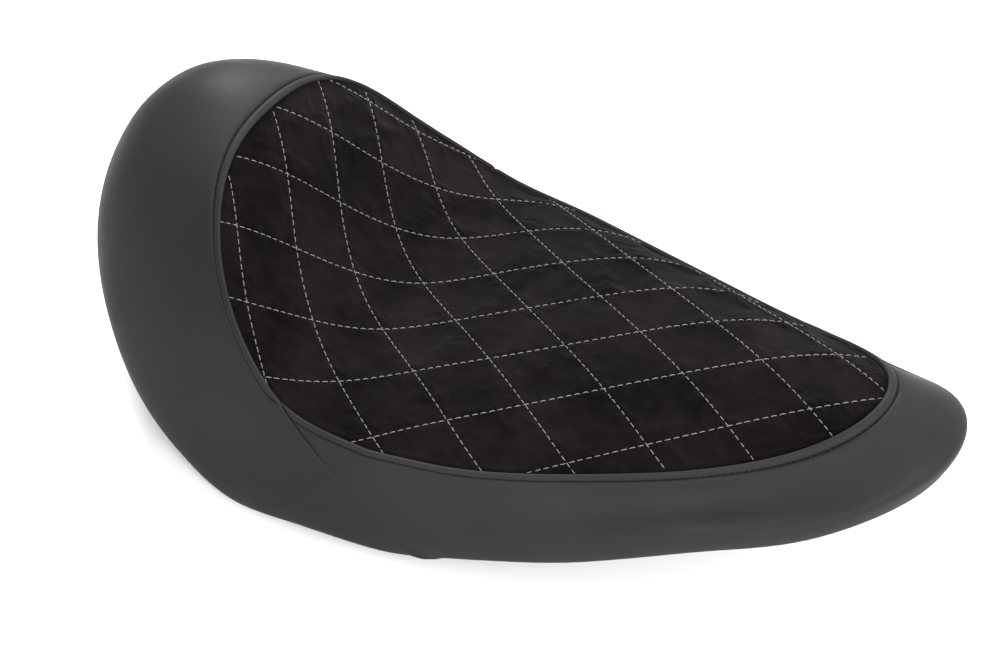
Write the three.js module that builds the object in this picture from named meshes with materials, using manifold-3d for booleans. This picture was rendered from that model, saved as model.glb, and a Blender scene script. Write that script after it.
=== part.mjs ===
// Motorcycle solo seat, in millimetres.
// +X points to the nose, +Z up. The seat is the same on both sides of the XZ plane.
// The origin is under the middle of the seat, at the level of its lowest edge.
import * as THREE from 'three';
import { mergeVertices } from 'three/addons/utils/BufferGeometryUtils.js';
import Module from 'manifold-3d';

const wasm = await Module();
wasm.setup();

const DEG = Math.PI / 180;

// ---------------------------------------------------------------- driving dimensions

// Riding surface. s runs over the surface along the middle line, from the rear edge of
// the insert to its front edge, and t runs across it. Both are lengths on the cover.
const INSERT_REAR = { x: -137, z: 186.5 };
const INSERT_LENGTH = 417;
const WIDEST_S = 175;
const HALF_WIDTH_T = 126;
const FRONT_OUTLINE_POWER = 1.2;
const REAR_OUTLINE_POWER = 0.39;
// The insert has a corner on each side, where the bands meet, at an angle round the seat
// from the nose. Beside it the outline swells and narrows a little: per cent by degrees.
const CORNER_ANGLE = 108;
const FRONT_EASE = [[0, 0.1], [30, 0.4], [60, -0.2], [78, 0.9], [91, -1], [CORNER_ANGLE, 1.6]];
const REAR_EASE = [[CORNER_ANGLE, 1.6], [131, -0.8], [155, 0.9], [180, -0.5]];
// Slope of the middle line in degrees at distances s: down the bolster, then to the nose.
const SLOPE = [[0, -35], [50, -60], [100, -44], [150, 4], [210, 9], [320, 8], [440, 0]];
// The surface bends down sideways: bend angle = BEND * t + FLARE * t^3, t in units of 100 mm.
const BEND = [[0, 0.35], [100, -0.1], [180, -0.05], [300, 0.42], [420, 1.5]];
const FLARE = [[0, 0.55], [100, 0.25], [180, 0.35], [300, 0.55], [420, 0.8]];
// The cross lines bow forward at the bolster and back at the nose, by LEAN * t^2 / 100.
const LEAN = [[0, 0.1], [180, -0.02], [420, -0.08]];

// Lower outline of the cover, seen from above, and its height along the seat.
const NOSE_X = 273;
const REAR_X = -249;
const WIDEST_X = -59;
const HALF_WIDTH = 136;
const NOSE_PLAN_POWER = 1.55;
const REAR_PLAN_POWER = 0.45;
const HEM_HEIGHT = [
  [REAR_X, 76.5], [-152, 13.5], [-105, 0.2], [-50, 6.5], [25, 10.5],
  [60, 22], [110, 37], [170, 59.5], [225, 73.5], [NOSE_X, 94],
];

// Side bands from the nose round to the back: how far they carry on in the direction they
// leave the insert and the hem, and the angles of those directions, in degrees.
const UPPER_PULL = [[0, 44.5], [45, 36.5], [90, 32.5], [140, 51], [180, 71]];
const LOWER_PULL = [[0, 20], [45, 21.5], [90, 28.5], [140, 35], [180, 64]];
const CREASE = [[0, 2], [45, 35.5], [90, 51.5], [140, 56], [180, 0]];
const HEM_FLARE = [[0, 14.5], [90, 10], [180, 8.5]];
const MIDDLE_ROUND = 6;
// The hem rolls round the pan's edge: the height of its roll, how far the roll reaches below
// that height and how far it lies along the pan, in shares of it.
const HEM_ROLL = 8;
const HEM_HOOK = 1.95;
const HEM_LIE = 0.9;

// Angle round the seat of the seam between the front and rear bands: 0 is at the insert and
// 1 at the bottom of the bands. Behind 90 degrees it grows faster, by SEAM_SPREAD.
const SEAM_SPREAD = 1.6;
const SEAM_ANGLE = [
  [0, 90 + (CORNER_ANGLE - 90) / SEAM_SPREAD], [0.06, 98.6], [0.12, 96.2], [0.22, 92.8],
  [0.32, 89.5], [0.45, 86], [0.61, 82.4], [0.8, 78.9], [1, 76.3], [1.4, 73.5], [3, 72],
];

// Layers of the cover and the cushion, and the room between the cover and what it wraps.
const GAP = 0.3;
const WRAP_GAP = 1;
const SKIN = 1.8;
const QUILT_FOAM = 5;

// Seat pan: a domed shell inside the hem.
const PAN = 3;
const PAN_INSET = 5;
const PAN_EDGE_LIFT = 4.5;
const PAN_RISE = 38;
const HEM_START = 6;
const HEM_END = 24;
const RIB_DEPTH = 7;
const RIB_WIDTH = 3;
const RIB_Y = 36;
const RIB_ENDS = [-165, 185];
const CROSS_RIB_X = [-55, 60];

// Steel strap that carries the rear thumb screw, and the pad of the pan it is bolted to.
const PLATE = 3;
const STRAP_WIDTH = 28;
const STRAP_BOLT_X = [-130, -102];
const STRAP_TOP = 37.7;
const STRAP_PAD = { from: -140, to: -88, half: 20, low: 38, high: 55 };
const STRAP_BEND_X = -143;
const TAB_BEND_X = -216;
const TAB_TOP = 69.5;
const SCREW_X = -264;
const SCREW_RADIUS = 3.175;
const KNOB_RADIUS = 11;
const KNOB_HEIGHT = 9;
const KNURLS = 24;
const KNURL_DEPTH = 0.7;

// Steel tongue under the nose, and the pad of the pan it is riveted to.
const TONGUE_WIDTH = 44;
const TONGUE_TOP = 71.7;
const TONGUE_DROP = 9;
const TONGUE_BENDS = [148, 158];
const TONGUE_TIP_X = 205;
const TONGUE_CORNER = 12;
const TONGUE_PAD = { from: 110, to: 144, half: 26, low: 72, high: 88 };
const TONGUE_RIVETS = [[118, 0], [134, -13], [134, 13]];

// Rubber bumpers: where they stand and how low their feet reach.
const BUMPERS = [[-106, 70, 19], [14, 70, 26], [118, 45, 52]];
const BUMPER_RADIUS = 11;
const BUMPER_HEIGHT = 12;
const BOSS_RADIUS = 12;

// Rivets through the hem: angles round the seat on each side, and distance in.
const HEM_RIVET_ANGLES = [12, 36, 58, 90, 113, 137, 160];
const HEM_RIVET_INWARD = 16;

// ---------------------------------------------------------------- curves

// Smooth curve through stations [place, value], with even slopes between neighbours.
function through(stations) {
  const place = stations.map((p) => p[0]);
  const value = stations.map((p) => p[1]);
  const last = place.length - 1;
  const rise = (i) => (value[i + 1] - value[i]) / (place[i + 1] - place[i]);
  const slope = place.map((p, i) => {
    if (i === 0) return rise(0);
    if (i === last) return rise(last - 1);
    const before = p - place[i - 1];
    const after = place[i + 1] - p;
    return (rise(i - 1) * after + rise(i) * before) / (before + after);
  });
  return (x) => {
    const within = Math.min(Math.max(x, place[0]), place[last]);
    let i = 0;
    while (i < last - 1 && within >= place[i + 1]) i += 1;
    const h = place[i + 1] - place[i];
    const u = (within - place[i]) / h;
    return (1 + 2 * u) * (1 - u) ** 2 * value[i] + u * (1 - u) ** 2 * h * slope[i]
      + u * u * (3 - 2 * u) * value[i + 1] + u * u * (u - 1) * h * slope[i + 1];
  };
}

const slopeAt = through(SLOPE);
const bendAt = through(BEND);
const flareAt = through(FLARE);
const leanAt = through(LEAN);
const frontEaseAt = through(FRONT_EASE);
const rearEaseAt = through(REAR_EASE);
const hemHeightAt = through(HEM_HEIGHT);
const upperPullAt = through(UPPER_PULL);
const lowerPullAt = through(LOWER_PULL);
const creaseAt = through(CREASE);
const hemFlareAt = through(HEM_FLARE);
const seamTurnAt = through(SEAM_ANGLE);

// Middle line of the riding surface: places every 2 mm along it.
const STEP = 2;
const middleLine = [new THREE.Vector3(INSERT_REAR.x, 0, INSERT_REAR.z)];
for (let s = 0; s < INSERT_LENGTH + 20; s += STEP) {
  const angle = slopeAt(s + STEP / 2) * DEG;
  const from = middleLine[middleLine.length - 1];
  middleLine.push(new THREE.Vector3(from.x + STEP * Math.cos(angle), 0, from.z + STEP * Math.sin(angle)));
}

function middleAt(s) {
  const place = Math.max(s, 0) / STEP;
  const i = Math.min(Math.floor(place), middleLine.length - 2);
  return middleLine[i].clone().lerp(middleLine[i + 1], place - i);
}

// Point of the riding surface at s along and t across.
const BEND_STEPS = 12;
function saddle(s, t) {
  const bend = bendAt(s) / 100;
  const flare = flareAt(s) / 1e6;
  const reach = Math.abs(t);
  let across = 0;
  let down = 0;
  for (let i = 0; i < BEND_STEPS; i += 1) {
    const out = reach * (i + 0.5) / BEND_STEPS;
    const angle = bend * out + flare * out ** 3;
    across += Math.cos(angle) * reach / BEND_STEPS;
    down += Math.sin(angle) * reach / BEND_STEPS;
  }
  const ahead = leanAt(s) / 100 * t * t;
  const slope = slopeAt(s) * DEG;
  const middle = middleAt(s);
  return new THREE.Vector3(
    middle.x + Math.cos(slope) * ahead + Math.sin(slope) * down,
    Math.sign(t) * across,
    middle.z + Math.sin(slope) * ahead - Math.cos(slope) * down,
  );
}

// Angle from the nose on either side, in degrees from 0 to 180. Near the middle of the nose
// and the back it levels off, so that nothing that follows it comes to a ridge there.
function degreesRound(angle) {
  const round = Math.acos(Math.cos(angle)) / DEG;
  const off = Math.min(round, 180 - round);
  const even = off < MIDDLE_ROUND ? (off * off / MIDDLE_ROUND + MIDDLE_ROUND) / 2 : off;
  return round < 90 ? even : 180 - even;
}

// Edge of the insert on the flat cover, at an angle round the seat: 0 is the nose.
function insertEdge(angle) {
  const c = Math.cos(angle);
  const reach = Math.abs(c);
  const round = degreesRound(angle);
  const ease = round < CORNER_ANGLE ? frontEaseAt(round) : rearEaseAt(round);
  const full = 1 + ease / 100;
  const length = c > 0 ? INSERT_LENGTH - WIDEST_S : WIDEST_S;
  const half = c > 0
    ? Math.sqrt(Math.max(1 - reach ** FRONT_OUTLINE_POWER, 0))
    : Math.max(1 - reach * reach, 0) ** REAR_OUTLINE_POWER;
  const side = Math.sign(Math.sin(angle)) * HALF_WIDTH_T * half;
  return new THREE.Vector2(WIDEST_S + full * length * c, full * side);
}

// Lower corner of the cover at the same angle.
function hemCorner(angle) {
  const c = Math.cos(angle);
  const reach = Math.abs(c);
  const side = Math.sign(Math.sin(angle)) || 0;
  const x = c > 0 ? WIDEST_X + (NOSE_X - WIDEST_X) * reach : WIDEST_X - (WIDEST_X - REAR_X) * reach;
  const half = c > 0
    ? Math.sqrt(Math.max(1 - reach ** NOSE_PLAN_POWER, 0))
    : Math.max(1 - reach * reach, 0) ** REAR_PLAN_POWER;
  return new THREE.Vector3(x, side * HALF_WIDTH * half, hemHeightAt(x));
}

// Small steps used to find directions on the curves.
const TURN = 1e-3;
const NUDGE = 1e-3;

// Unit direction out of the seat, level, square to the lower outline.
function hemOutward(angle) {
  const along = hemCorner(angle + TURN).sub(hemCorner(angle - TURN));
  return new THREE.Vector3(along.y, -along.x, 0).normalize();
}

function bezier(a, b, c, d, u) {
  const w = 1 - u;
  return new THREE.Vector3()
    .addScaledVector(a, w * w * w)
    .addScaledVector(b, 3 * u * w * w)
    .addScaledVector(c, 3 * u * u * w)
    .addScaledVector(d, u * u * u);
}

// Side band at an angle round the seat, from the insert (u = 0) to the hem roll (u = 1).
const EDGE_STEP = 2;
function bandCurve(angle) {
  const edge = insertEdge(angle);
  const along = insertEdge(angle + TURN).sub(insertEdge(angle - TURN)).normalize();
  const top = saddle(edge.x, edge.y);
  const inside = saddle(edge.x - along.y * EDGE_STEP, edge.y + along.x * EDGE_STEP);
  const away = top.clone().sub(inside).normalize();
  const corner = hemCorner(angle);
  const chord = corner.clone().sub(top);
  const down = chord.addScaledVector(away, -chord.dot(away)).normalize();
  const round = degreesRound(angle);
  const crease = creaseAt(round) * DEG;
  const leave = away.multiplyScalar(Math.cos(crease)).addScaledVector(down, Math.sin(crease));
  const flare = hemFlareAt(round) * DEG;
  const rise = hemOutward(angle).multiplyScalar(Math.sin(flare));
  rise.z = Math.cos(flare);
  const end = corner.clone().addScaledVector(rise, HEM_ROLL);
  return {
    top,
    upper: top.clone().addScaledVector(leave, upperPullAt(round)),
    lower: end.clone().addScaledVector(rise, lowerPullAt(round)),
    end,
    rise,
  };
}

// Underside of the pan: distance in from its edge, towards the middle of the pan.
const PAN_MIDDLE = new THREE.Vector3(WIDEST_X, 0, 0);
function panUnder(angle, inward) {
  const edge = hemCorner(angle).addScaledVector(hemOutward(angle), -PAN_INSET);
  edge.z = 0;
  const reach = edge.distanceTo(PAN_MIDDLE);
  const out = Math.max(1 - inward / reach, 0);
  const point = PAN_MIDDLE.clone().lerp(edge, out);
  point.z = hemHeightAt(point.x) + PAN_EDGE_LIFT + PAN_RISE * (1 - out ** 4);
  return point;
}

function panReach(angle) {
  const edge = hemCorner(angle).addScaledVector(hemOutward(angle), -PAN_INSET);
  return Math.hypot(edge.x - PAN_MIDDLE.x, edge.y);
}

function panNormal(angle, inward) {
  const round = panUnder(angle + TURN, inward).sub(panUnder(angle - TURN, inward));
  const across = panUnder(angle, inward + 1).sub(panUnder(angle, inward - 1));
  const normal = round.cross(across).normalize();
  return normal.z > 0 ? normal.negate() : normal;
}

// ---------------------------------------------------------------- the cover's outer surface

// v is 0 at the middle of the insert, 1 at its edge, 2 at the bottom of the band,
// 3 where the hem starts to lie on the pan and 4 at the hem's cut edge.
function coverPoint(angle, v) {
  if (v <= 1) {
    const edge = insertEdge(angle);
    return saddle(WIDEST_S + (edge.x - WIDEST_S) * v, edge.y * v);
  }
  const band = bandCurve(angle);
  if (v <= 2) return bezier(band.top, band.upper, band.lower, band.end, v - 1);
  const inward = HEM_START + (HEM_END - HEM_START) * (Math.max(v, 3) - 3);
  const onPan = panUnder(angle, inward).addScaledVector(panNormal(angle, inward), SKIN + WRAP_GAP);
  if (v >= 3) return onPan;
  const further = panUnder(angle, inward + 1).sub(panUnder(angle, inward)).normalize();
  const lowest = band.end.clone().addScaledVector(band.rise, -HEM_HOOK * HEM_ROLL);
  return bezier(band.end, lowest, onPan.clone().addScaledVector(further, -HEM_LIE * HEM_ROLL), onPan, v - 2);
}

// Unit normal of the cover, outwards.
function coverNormal(angle, v) {
  if (v < 1) {
    const edge = insertEdge(angle);
    const s = WIDEST_S + (edge.x - WIDEST_S) * v;
    const t = edge.y * v;
    const along = saddle(s + 1, t).sub(saddle(s - 1, t));
    const across = saddle(s, t + 1).sub(saddle(s, t - 1));
    return along.cross(across).normalize();
  }
  const round = coverPoint(angle + TURN, v).sub(coverPoint(angle - TURN, v));
  const down = coverPoint(angle, Math.min(v + NUDGE, 4)).sub(coverPoint(angle, Math.max(v - NUDGE, 1)));
  return down.cross(round).normalize();
}

// Point at a depth under the cover. At the seam round the insert, where the cover has a
// crease, the two layers meet on the plane halfway between their normals.
const AT_CREASE = 0.02;
const BESIDE_CREASE = 0.03;
function under(angle, v, depth) {
  const point = coverPoint(angle, v);
  if (Math.abs(v - 1) > AT_CREASE) return point.addScaledVector(coverNormal(angle, v), -depth);
  const inner = coverNormal(angle, 1 - BESIDE_CREASE);
  const halfway = inner.clone().add(coverNormal(angle, 1 + BESIDE_CREASE)).normalize();
  return point.addScaledVector(halfway, -depth / halfway.dot(inner));
}

// ---------------------------------------------------------------- solids from sections

// Points closer than this are one point.
const SAME = 1e-4;

function fromTriangles(triangles) {
  const positions = [];
  for (const [a, b, c] of triangles) {
    const flat = a.distanceTo(b) < SAME || b.distanceTo(c) < SAME || a.distanceTo(c) < SAME;
    if (!flat) positions.push(...a.toArray(), ...b.toArray(), ...c.toArray());
  }
  const geometry = new THREE.BufferGeometry();
  geometry.setAttribute('position', new THREE.Float32BufferAttribute(positions, 3));
  return outward(mergeVertices(geometry, SAME));
}

// Turn a closed geometry's faces outwards, by the sign of its volume.
function outward(geometry) {
  const p = geometry.attributes.position;
  const index = geometry.index.array;
  const corner = [new THREE.Vector3(), new THREE.Vector3(), new THREE.Vector3()];
  let volume = 0;
  for (let i = 0; i < index.length; i += 3) {
    corner.forEach((c, k) => c.fromBufferAttribute(p, index[i + k]));
    volume += corner[0].dot(corner[1].cross(corner[2]));
  }
  if (volume < 0) index.reverse();
  return geometry;
}

// Solid whose sections all start and end on one pair of points, like a lathe's. Past the
// turning point of the sections the squares are split along their other diagonal, so that
// the two faces of a layer, and the layers on each other, are split alike.
function closedRound(sections, turning) {
  const triangles = [];
  sections.forEach((section, i) => {
    const next = sections[(i + 1) % sections.length];
    for (let j = 0; j < section.length - 1; j += 1) {
      const [a, b, c, d] = [section[j], section[j + 1], next[j + 1], next[j]];
      if (j < turning) triangles.push([a, b, d], [b, c, d]);
      else triangles.push([a, b, c], [a, c, d]);
    }
  });
  return fromTriangles(triangles);
}

// Curved sheet between an outer and an inner row of points at each section.
function sheet(outerRows, innerRows) {
  const triangles = [];
  const quad = (a, b, c, d) => triangles.push([a, b, c], [a, c, d]);
  const lastRow = outerRows.length - 1;
  const lastPoint = outerRows[0].length - 1;
  for (let i = 0; i < lastRow; i += 1) {
    for (let j = 0; j < lastPoint; j += 1) {
      quad(outerRows[i][j + 1], outerRows[i + 1][j + 1], outerRows[i + 1][j], outerRows[i][j]);
      quad(innerRows[i + 1][j], innerRows[i + 1][j + 1], innerRows[i][j + 1], innerRows[i][j]);
    }
    quad(outerRows[i][0], outerRows[i + 1][0], innerRows[i + 1][0], innerRows[i][0]);
    const [a, b] = [outerRows[i][lastPoint], outerRows[i + 1][lastPoint]];
    quad(a, innerRows[i][lastPoint], innerRows[i + 1][lastPoint], b);
  }
  for (let j = 0; j < lastPoint; j += 1) {
    quad(outerRows[0][j], innerRows[0][j], innerRows[0][j + 1], outerRows[0][j + 1]);
    const [a, b] = [outerRows[lastRow], innerRows[lastRow]];
    quad(a[j], a[j + 1], b[j + 1], b[j]);
  }
  return fromTriangles(triangles);
}

function toSolid(geometry) {
  const bare = geometry.clone();
  bare.deleteAttribute('normal');
  bare.deleteAttribute('uv');
  const merged = mergeVertices(bare, SAME);
  return new wasm.Manifold(new wasm.Mesh({
    numProp: 3,
    vertProperties: new Float32Array(merged.attributes.position.array),
    triVerts: new Uint32Array(merged.index.array),
  }));
}

function toGeometry(solid) {
  const mesh = solid.getMesh();
  const geometry = new THREE.BufferGeometry();
  geometry.setAttribute('position', new THREE.Float32BufferAttribute(mesh.vertProperties, 3));
  geometry.setIndex(Array.from(mesh.triVerts));
  return geometry;
}

// Move a geometry built along +Y so that it stands at a point along a direction.
function standing(geometry, point, direction) {
  const turn = new THREE.Quaternion().setFromUnitVectors(new THREE.Vector3(0, 1, 0), direction);
  return geometry.clone().applyQuaternion(turn).translate(point.x, point.y, point.z);
}

// Turned piece from a profile of [radius, height] points, starting and ending on the axis.
function turned(profile, sides) {
  return new THREE.LatheGeometry(profile.map((p) => new THREE.Vector2(...p)), sides);
}

const UP = new THREE.Vector3(0, 0, 1);
const at = (x, y, z) => new THREE.Vector3(x, y, z);

const seat = new THREE.Group();
function add(name, geometry, material) {
  const mesh = new THREE.Mesh(geometry, material);
  mesh.name = name;
  if (!geometry.attributes.normal) geometry.computeVertexNormals();
  seat.add(mesh);
}

const standard = (color, roughness, metalness = 0) => (
  new THREE.MeshStandardMaterial({ color, roughness, metalness }));
const suede = standard(0x231f1e, 0.95);
const vinyl = standard(0x3a3839, 0.5);
const foamGrey = standard(0x4a4a4d, 0.9);
const foamCream = standard(0xd8cfb0, 0.9);
const panPlastic = standard(0x1b1c1e, 0.6);
const zincSteel = standard(0xa9abad, 0.4, 1);
const blackSteel = standard(0x1d1e20, 0.5, 0.6);
const rubber = standard(0x18181a, 0.85);
const nylon = standard(0xe9e7df, 0.5);

// ---------------------------------------------------------------- insert and cushion

// Lines that run from the insert down to the hem, numbered round the seat from the nose.
// Line SEAM_LINE on each side is the seam between the bands.
const HALF_ROUND = 18;
const SEAM_LINE = 11;
function seamAt(v) {
  const turn = seamTurnAt(Math.max(v, 1) - 1);
  return (turn > 90 ? 90 + SEAM_SPREAD * (turn - 90) : turn) * DEG;
}
function lineAngle(line, v) {
  const seam = seamAt(v);
  if (line <= SEAM_LINE) return seam * line / SEAM_LINE;
  if (line <= HALF_ROUND) {
    return seam + (Math.PI - seam) * (line - SEAM_LINE) / (HALF_ROUND - SEAM_LINE);
  }
  return 2 * Math.PI - lineAngle(2 * HALF_ROUND - line, v);
}
const lines = Array.from({ length: 2 * HALF_ROUND }, (_, i) => i);
// The insert stops just short of the seam, to leave room for the bands' turned-in edge.
const INSERT_V = [0, 0.25, 0.48, 0.7, 0.88, 0.992];

// Layer of the insert between two depths.
function insertLayer(shallow, deep) {
  return closedRound(lines.map((line) => {
    const top = INSERT_V.map((v) => under(lineAngle(line, v), v, shallow));
    const bottom = INSERT_V.map((v) => under(lineAngle(line, v), v, deep));
    return [...top, ...bottom.reverse()];
  }), INSERT_V.length);
}

// Point of the pan at a share of the way out to its edge, raised above its underside.
const NEAR_MIDDLE = 0.01;
function panPoint(angle, out, lift) {
  const inward = panReach(angle) * (1 - out);
  const point = panUnder(angle, inward);
  return out < NEAR_MIDDLE
    ? point.addScaledVector(UP, lift)
    : point.addScaledVector(panNormal(angle, inward), -lift);
}

// Rows of the pan and of what lies on it: distances in from its edge, then shares of the
// way out from its middle.
const PAN_ROWS = [
  ...[0, HEM_START, (HEM_START + HEM_END) / 2, HEM_END].map((inward) => ({ inward })),
  ...[0.64, 0.36, 0].map((out) => ({ out })),
];
const PAN_V = 3;
function panRow(line, { inward, out }, lift) {
  const angle = lineAngle(line, PAN_V);
  const share = out === undefined ? 1 - inward / panReach(angle) : out;
  return panPoint(angle, share, lift);
}

const CUSHION_TOP = SKIN + GAP + QUILT_FOAM + GAP;
const CUSHION_SIDE = SKIN + WRAP_GAP;
const CUSHION_SIDE_V = [1.025, 1.06, 1.16, 1.32, 1.52, 1.74, 1.9];
const CUSHION_FOOT = { inward: 2 };
const CUSHION_V = [...INSERT_V, 1.01];

function cushion() {
  return closedRound(lines.map((line) => [
    ...CUSHION_V.map((v) => under(lineAngle(line, v), v, CUSHION_TOP)),
    ...CUSHION_SIDE_V.map((v) => under(lineAngle(line, v), v, CUSHION_SIDE)),
    panRow(line, CUSHION_FOOT, PAN + GAP),
    ...PAN_ROWS.slice(1).map((row) => panRow(line, row, PAN + GAP)),
  ]), INSERT_V.length + CUSHION_SIDE_V.length);
}

// ---------------------------------------------------------------- vinyl bands

const BAND_V = [1.002, 1.025, 1.06, 1.16, 1.32, 1.52, 1.74, 1.9, 2, 2.4, 2.75, 3, 3.5, 4];
const HALF_GAP = 0.0015;

// Band of cover from one line round to another, just clear of the seams at both ends.
function band(first, last) {
  const rows = Array.from({ length: last - first + 1 }, (_, i) => first + i);
  const clear = (line) => (line === first) * HALF_GAP - (line === last) * HALF_GAP;
  const row = (line, depth) => BAND_V.map((v) => {
    const angle = line < 0 ? -lineAngle(-line, v) : lineAngle(line, v);
    return under(angle + clear(line), v, depth);
  });
  return sheet(rows.map((line) => row(line, 0)), rows.map((line) => row(line, SKIN)));
}

const frontBand = band(-SEAM_LINE, SEAM_LINE);
const rearBand = band(SEAM_LINE, 2 * HALF_ROUND - SEAM_LINE);

// ---------------------------------------------------------------- pan

const fromMiddle = PAN_ROWS.slice().reverse();
const panShell = closedRound(lines.map((line) => [
  ...fromMiddle.map((row) => panRow(line, row, PAN)),
  ...PAN_ROWS.map((row) => panRow(line, row, 0)),
]), PAN_ROWS.length);

// Everything from the middle of the pan's wall down to a depth below its underside. The
// deepest boss ends above PAN_SPACE, and the tops of ribs and bosses stay under RIB_COLUMN.
const PAN_SPACE = 60;
const RIB_COLUMN = 120;
function belowPan(depth) {
  return toSolid(closedRound(lines.map((line) => [
    ...fromMiddle.map((row) => panRow(line, row, PAN / 2)),
    ...PAN_ROWS.map((row) => panRow(line, row, 0).addScaledVector(UP, -depth)),
  ]), PAN_ROWS.length));
}

function box(from, to, half, low, high) {
  const geometry = new THREE.BoxGeometry(to - from, 2 * half, high - low);
  return geometry.translate((from + to) / 2, 0, (low + high) / 2);
}

function upright(radius, low, high, x, y, sides = 12) {
  const geometry = new THREE.CylinderGeometry(radius, radius, high - low, sides);
  return geometry.rotateX(Math.PI / 2).translate(x, y, (low + high) / 2);
}

const bothSides = (list) => list.flatMap(([x, y, ...rest]) => [[x, -y, ...rest], [x, y, ...rest]]);
const bumpers = bothSides(BUMPERS);
const hemRivets = HEM_RIVET_ANGLES.flatMap((angle) => [-angle * DEG, angle * DEG]);

// How far a cutting cylinder reaches past both faces of what it goes through.
const CUT = 8;
const BOLT_HOLE = 3.4;
const TEE_HOLE = 4.4;
const TEE = { bore: 3.3, barrel: 4, depth: 9, flange: 9, plate: 1.5 };
const RIVET_SHANK = 2.4;
const RIVET_HOLE = 2.8;
const RIVET_HEAD = 4.5;
const RIVET_CROWN = 2.6;
const RIVET_HEAD_HEIGHT = 2;
const RIVET_RIM = 0.6;
// Room that the cushion leaves round and above the tee nuts and the rivets' upper heads.
const POCKET_ROOM = 1;
const TEE_POCKET = 5;
const RIVET_POCKET = 3.5;
const BUMPER_SCREW = 2;
const BUMPER_HOLE = 2.4;
const BUMPER_SCREW_DEPTH = 21;
const HEM_RIVET_SHANK = 1.6;
const HEM_RIVET_HOLE = 2.1;
const HEM_RIVET_HEAD = 4.2;
const HEM_RIVET_CROWN = 2.4;
const HEM_RIVET_DOME = 1.6;
const HEM_RIVET_RIM = 0.3;
// Clear space under a rivet's head, which bridges the slightly curved hem.
const HEM_RIVET_CLEAR = 1.4;
// The shank ends inside the pan's wall, this far short of its upper face.
const HEM_RIVET_SHORT = 1.3;
const HEM_RIVET_LENGTH = SKIN + WRAP_GAP + HEM_RIVET_CLEAR + PAN - HEM_RIVET_SHORT;

// Cylinders that cut the hem's rivet holes through the cover and the pan.
const hemCuts = hemRivets.map((angle) => {
  const cutter = new THREE.CylinderGeometry(HEM_RIVET_HOLE, HEM_RIVET_HOLE, 2 * CUT, 6);
  const normal = panNormal(angle, HEM_RIVET_INWARD);
  return toSolid(standing(cutter, panUnder(angle, HEM_RIVET_INWARD), normal));
});

function pan() {
  let solid = toSolid(panShell);
  const space = belowPan(PAN_SPACE);
  const ribs = belowPan(RIB_DEPTH);
  for (const [x, y, foot] of bumpers) {
    const boss = upright(BOSS_RADIUS, foot + BUMPER_HEIGHT + GAP, foot + PAN_SPACE, x, y);
    solid = solid.add(toSolid(boss).intersect(space));
  }
  for (const y of [-RIB_Y, RIB_Y]) {
    const rib = box(...RIB_ENDS, RIB_WIDTH / 2, 0, RIB_COLUMN).translate(0, y, 0);
    solid = solid.add(toSolid(rib).intersect(ribs));
  }
  for (const x of CROSS_RIB_X) {
    const rib = box(x - RIB_WIDTH / 2, x + RIB_WIDTH / 2, RIB_Y, 0, RIB_COLUMN);
    solid = solid.add(toSolid(rib).intersect(ribs));
  }
  for (const pad of [STRAP_PAD, TONGUE_PAD]) {
    solid = solid.add(toSolid(box(pad.from, pad.to, pad.half, pad.low, pad.high)));
  }
  for (const [x, y, foot] of bumpers) {
    const hole = upright(BUMPER_HOLE, foot, foot + BUMPER_SCREW_DEPTH + GAP, x, y, 10);
    solid = solid.subtract(toSolid(hole));
  }
  for (const x of STRAP_BOLT_X) {
    const hole = upright(TEE_HOLE, STRAP_PAD.low - CUT, STRAP_PAD.high + CUT, x, 0, 14);
    solid = solid.subtract(toSolid(hole));
  }
  for (const [x, y] of TONGUE_RIVETS) {
    const hole = upright(RIVET_HOLE, TONGUE_PAD.low - CUT, TONGUE_PAD.high + CUT, x, y);
    solid = solid.subtract(toSolid(hole));
  }
  for (const cut of hemCuts) solid = solid.subtract(cut);
  return toGeometry(solid);
}

// The cushion's underside has pockets over the pads, the tee nuts and the rivets.
function pocketed(geometry) {
  let solid = toSolid(geometry);
  for (const pad of [STRAP_PAD, TONGUE_PAD]) {
    const pocket = box(pad.from - GAP, pad.to + GAP, pad.half + GAP, pad.low, pad.high + GAP);
    solid = solid.subtract(toSolid(pocket));
  }
  for (const x of STRAP_BOLT_X) {
    const pocket = upright(TEE.flange + POCKET_ROOM, STRAP_PAD.low, STRAP_PAD.high + TEE_POCKET, x, 0, 14);
    solid = solid.subtract(toSolid(pocket));
  }
  for (const [x, y] of TONGUE_RIVETS) {
    const high = TONGUE_PAD.high + RIVET_POCKET;
    const pocket = upright(RIVET_HEAD + POCKET_ROOM, TONGUE_PAD.low, high, x, y);
    solid = solid.subtract(toSolid(pocket));
  }
  return toGeometry(solid);
}

function riveted(geometry) {
  return toGeometry(hemCuts.reduce((solid, cut) => solid.subtract(cut), toSolid(geometry)));
}

add('quilted_insert', insertLayer(0, SKIN), suede);
add('quilt_foam', insertLayer(SKIN + GAP, SKIN + GAP + QUILT_FOAM), foamGrey);
add('rear_band', riveted(rearBand), vinyl);
add('front_band', riveted(frontBand), vinyl);
add('seat_foam', pocketed(cushion()), foamCream);
add('seat_pan', pan(), panPlastic);

// ---------------------------------------------------------------- rear strap and screw

// Strip bent along a line of [x, z] points of its top face, cut to a plan outline.
function bentPlate(line, width) {
  const side = new THREE.Shape();
  line.forEach(([x, z], i) => (i ? side.lineTo(x, z) : side.moveTo(x, z)));
  line.slice().reverse().forEach(([x, z]) => side.lineTo(x, z - PLATE));
  side.closePath();
  const geometry = new THREE.ExtrudeGeometry(side, { depth: width, bevelEnabled: false });
  return geometry.rotateX(Math.PI / 2).translate(0, width / 2, 0);
}

// A plan outline as a solid from the ground to above both plates.
const PLAN_HEIGHT = 90;
function raisedPlan(outline, curveSegments) {
  const shape = { depth: PLAN_HEIGHT, bevelEnabled: false, curveSegments };
  return toSolid(new THREE.ExtrudeGeometry(outline, shape));
}

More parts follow.
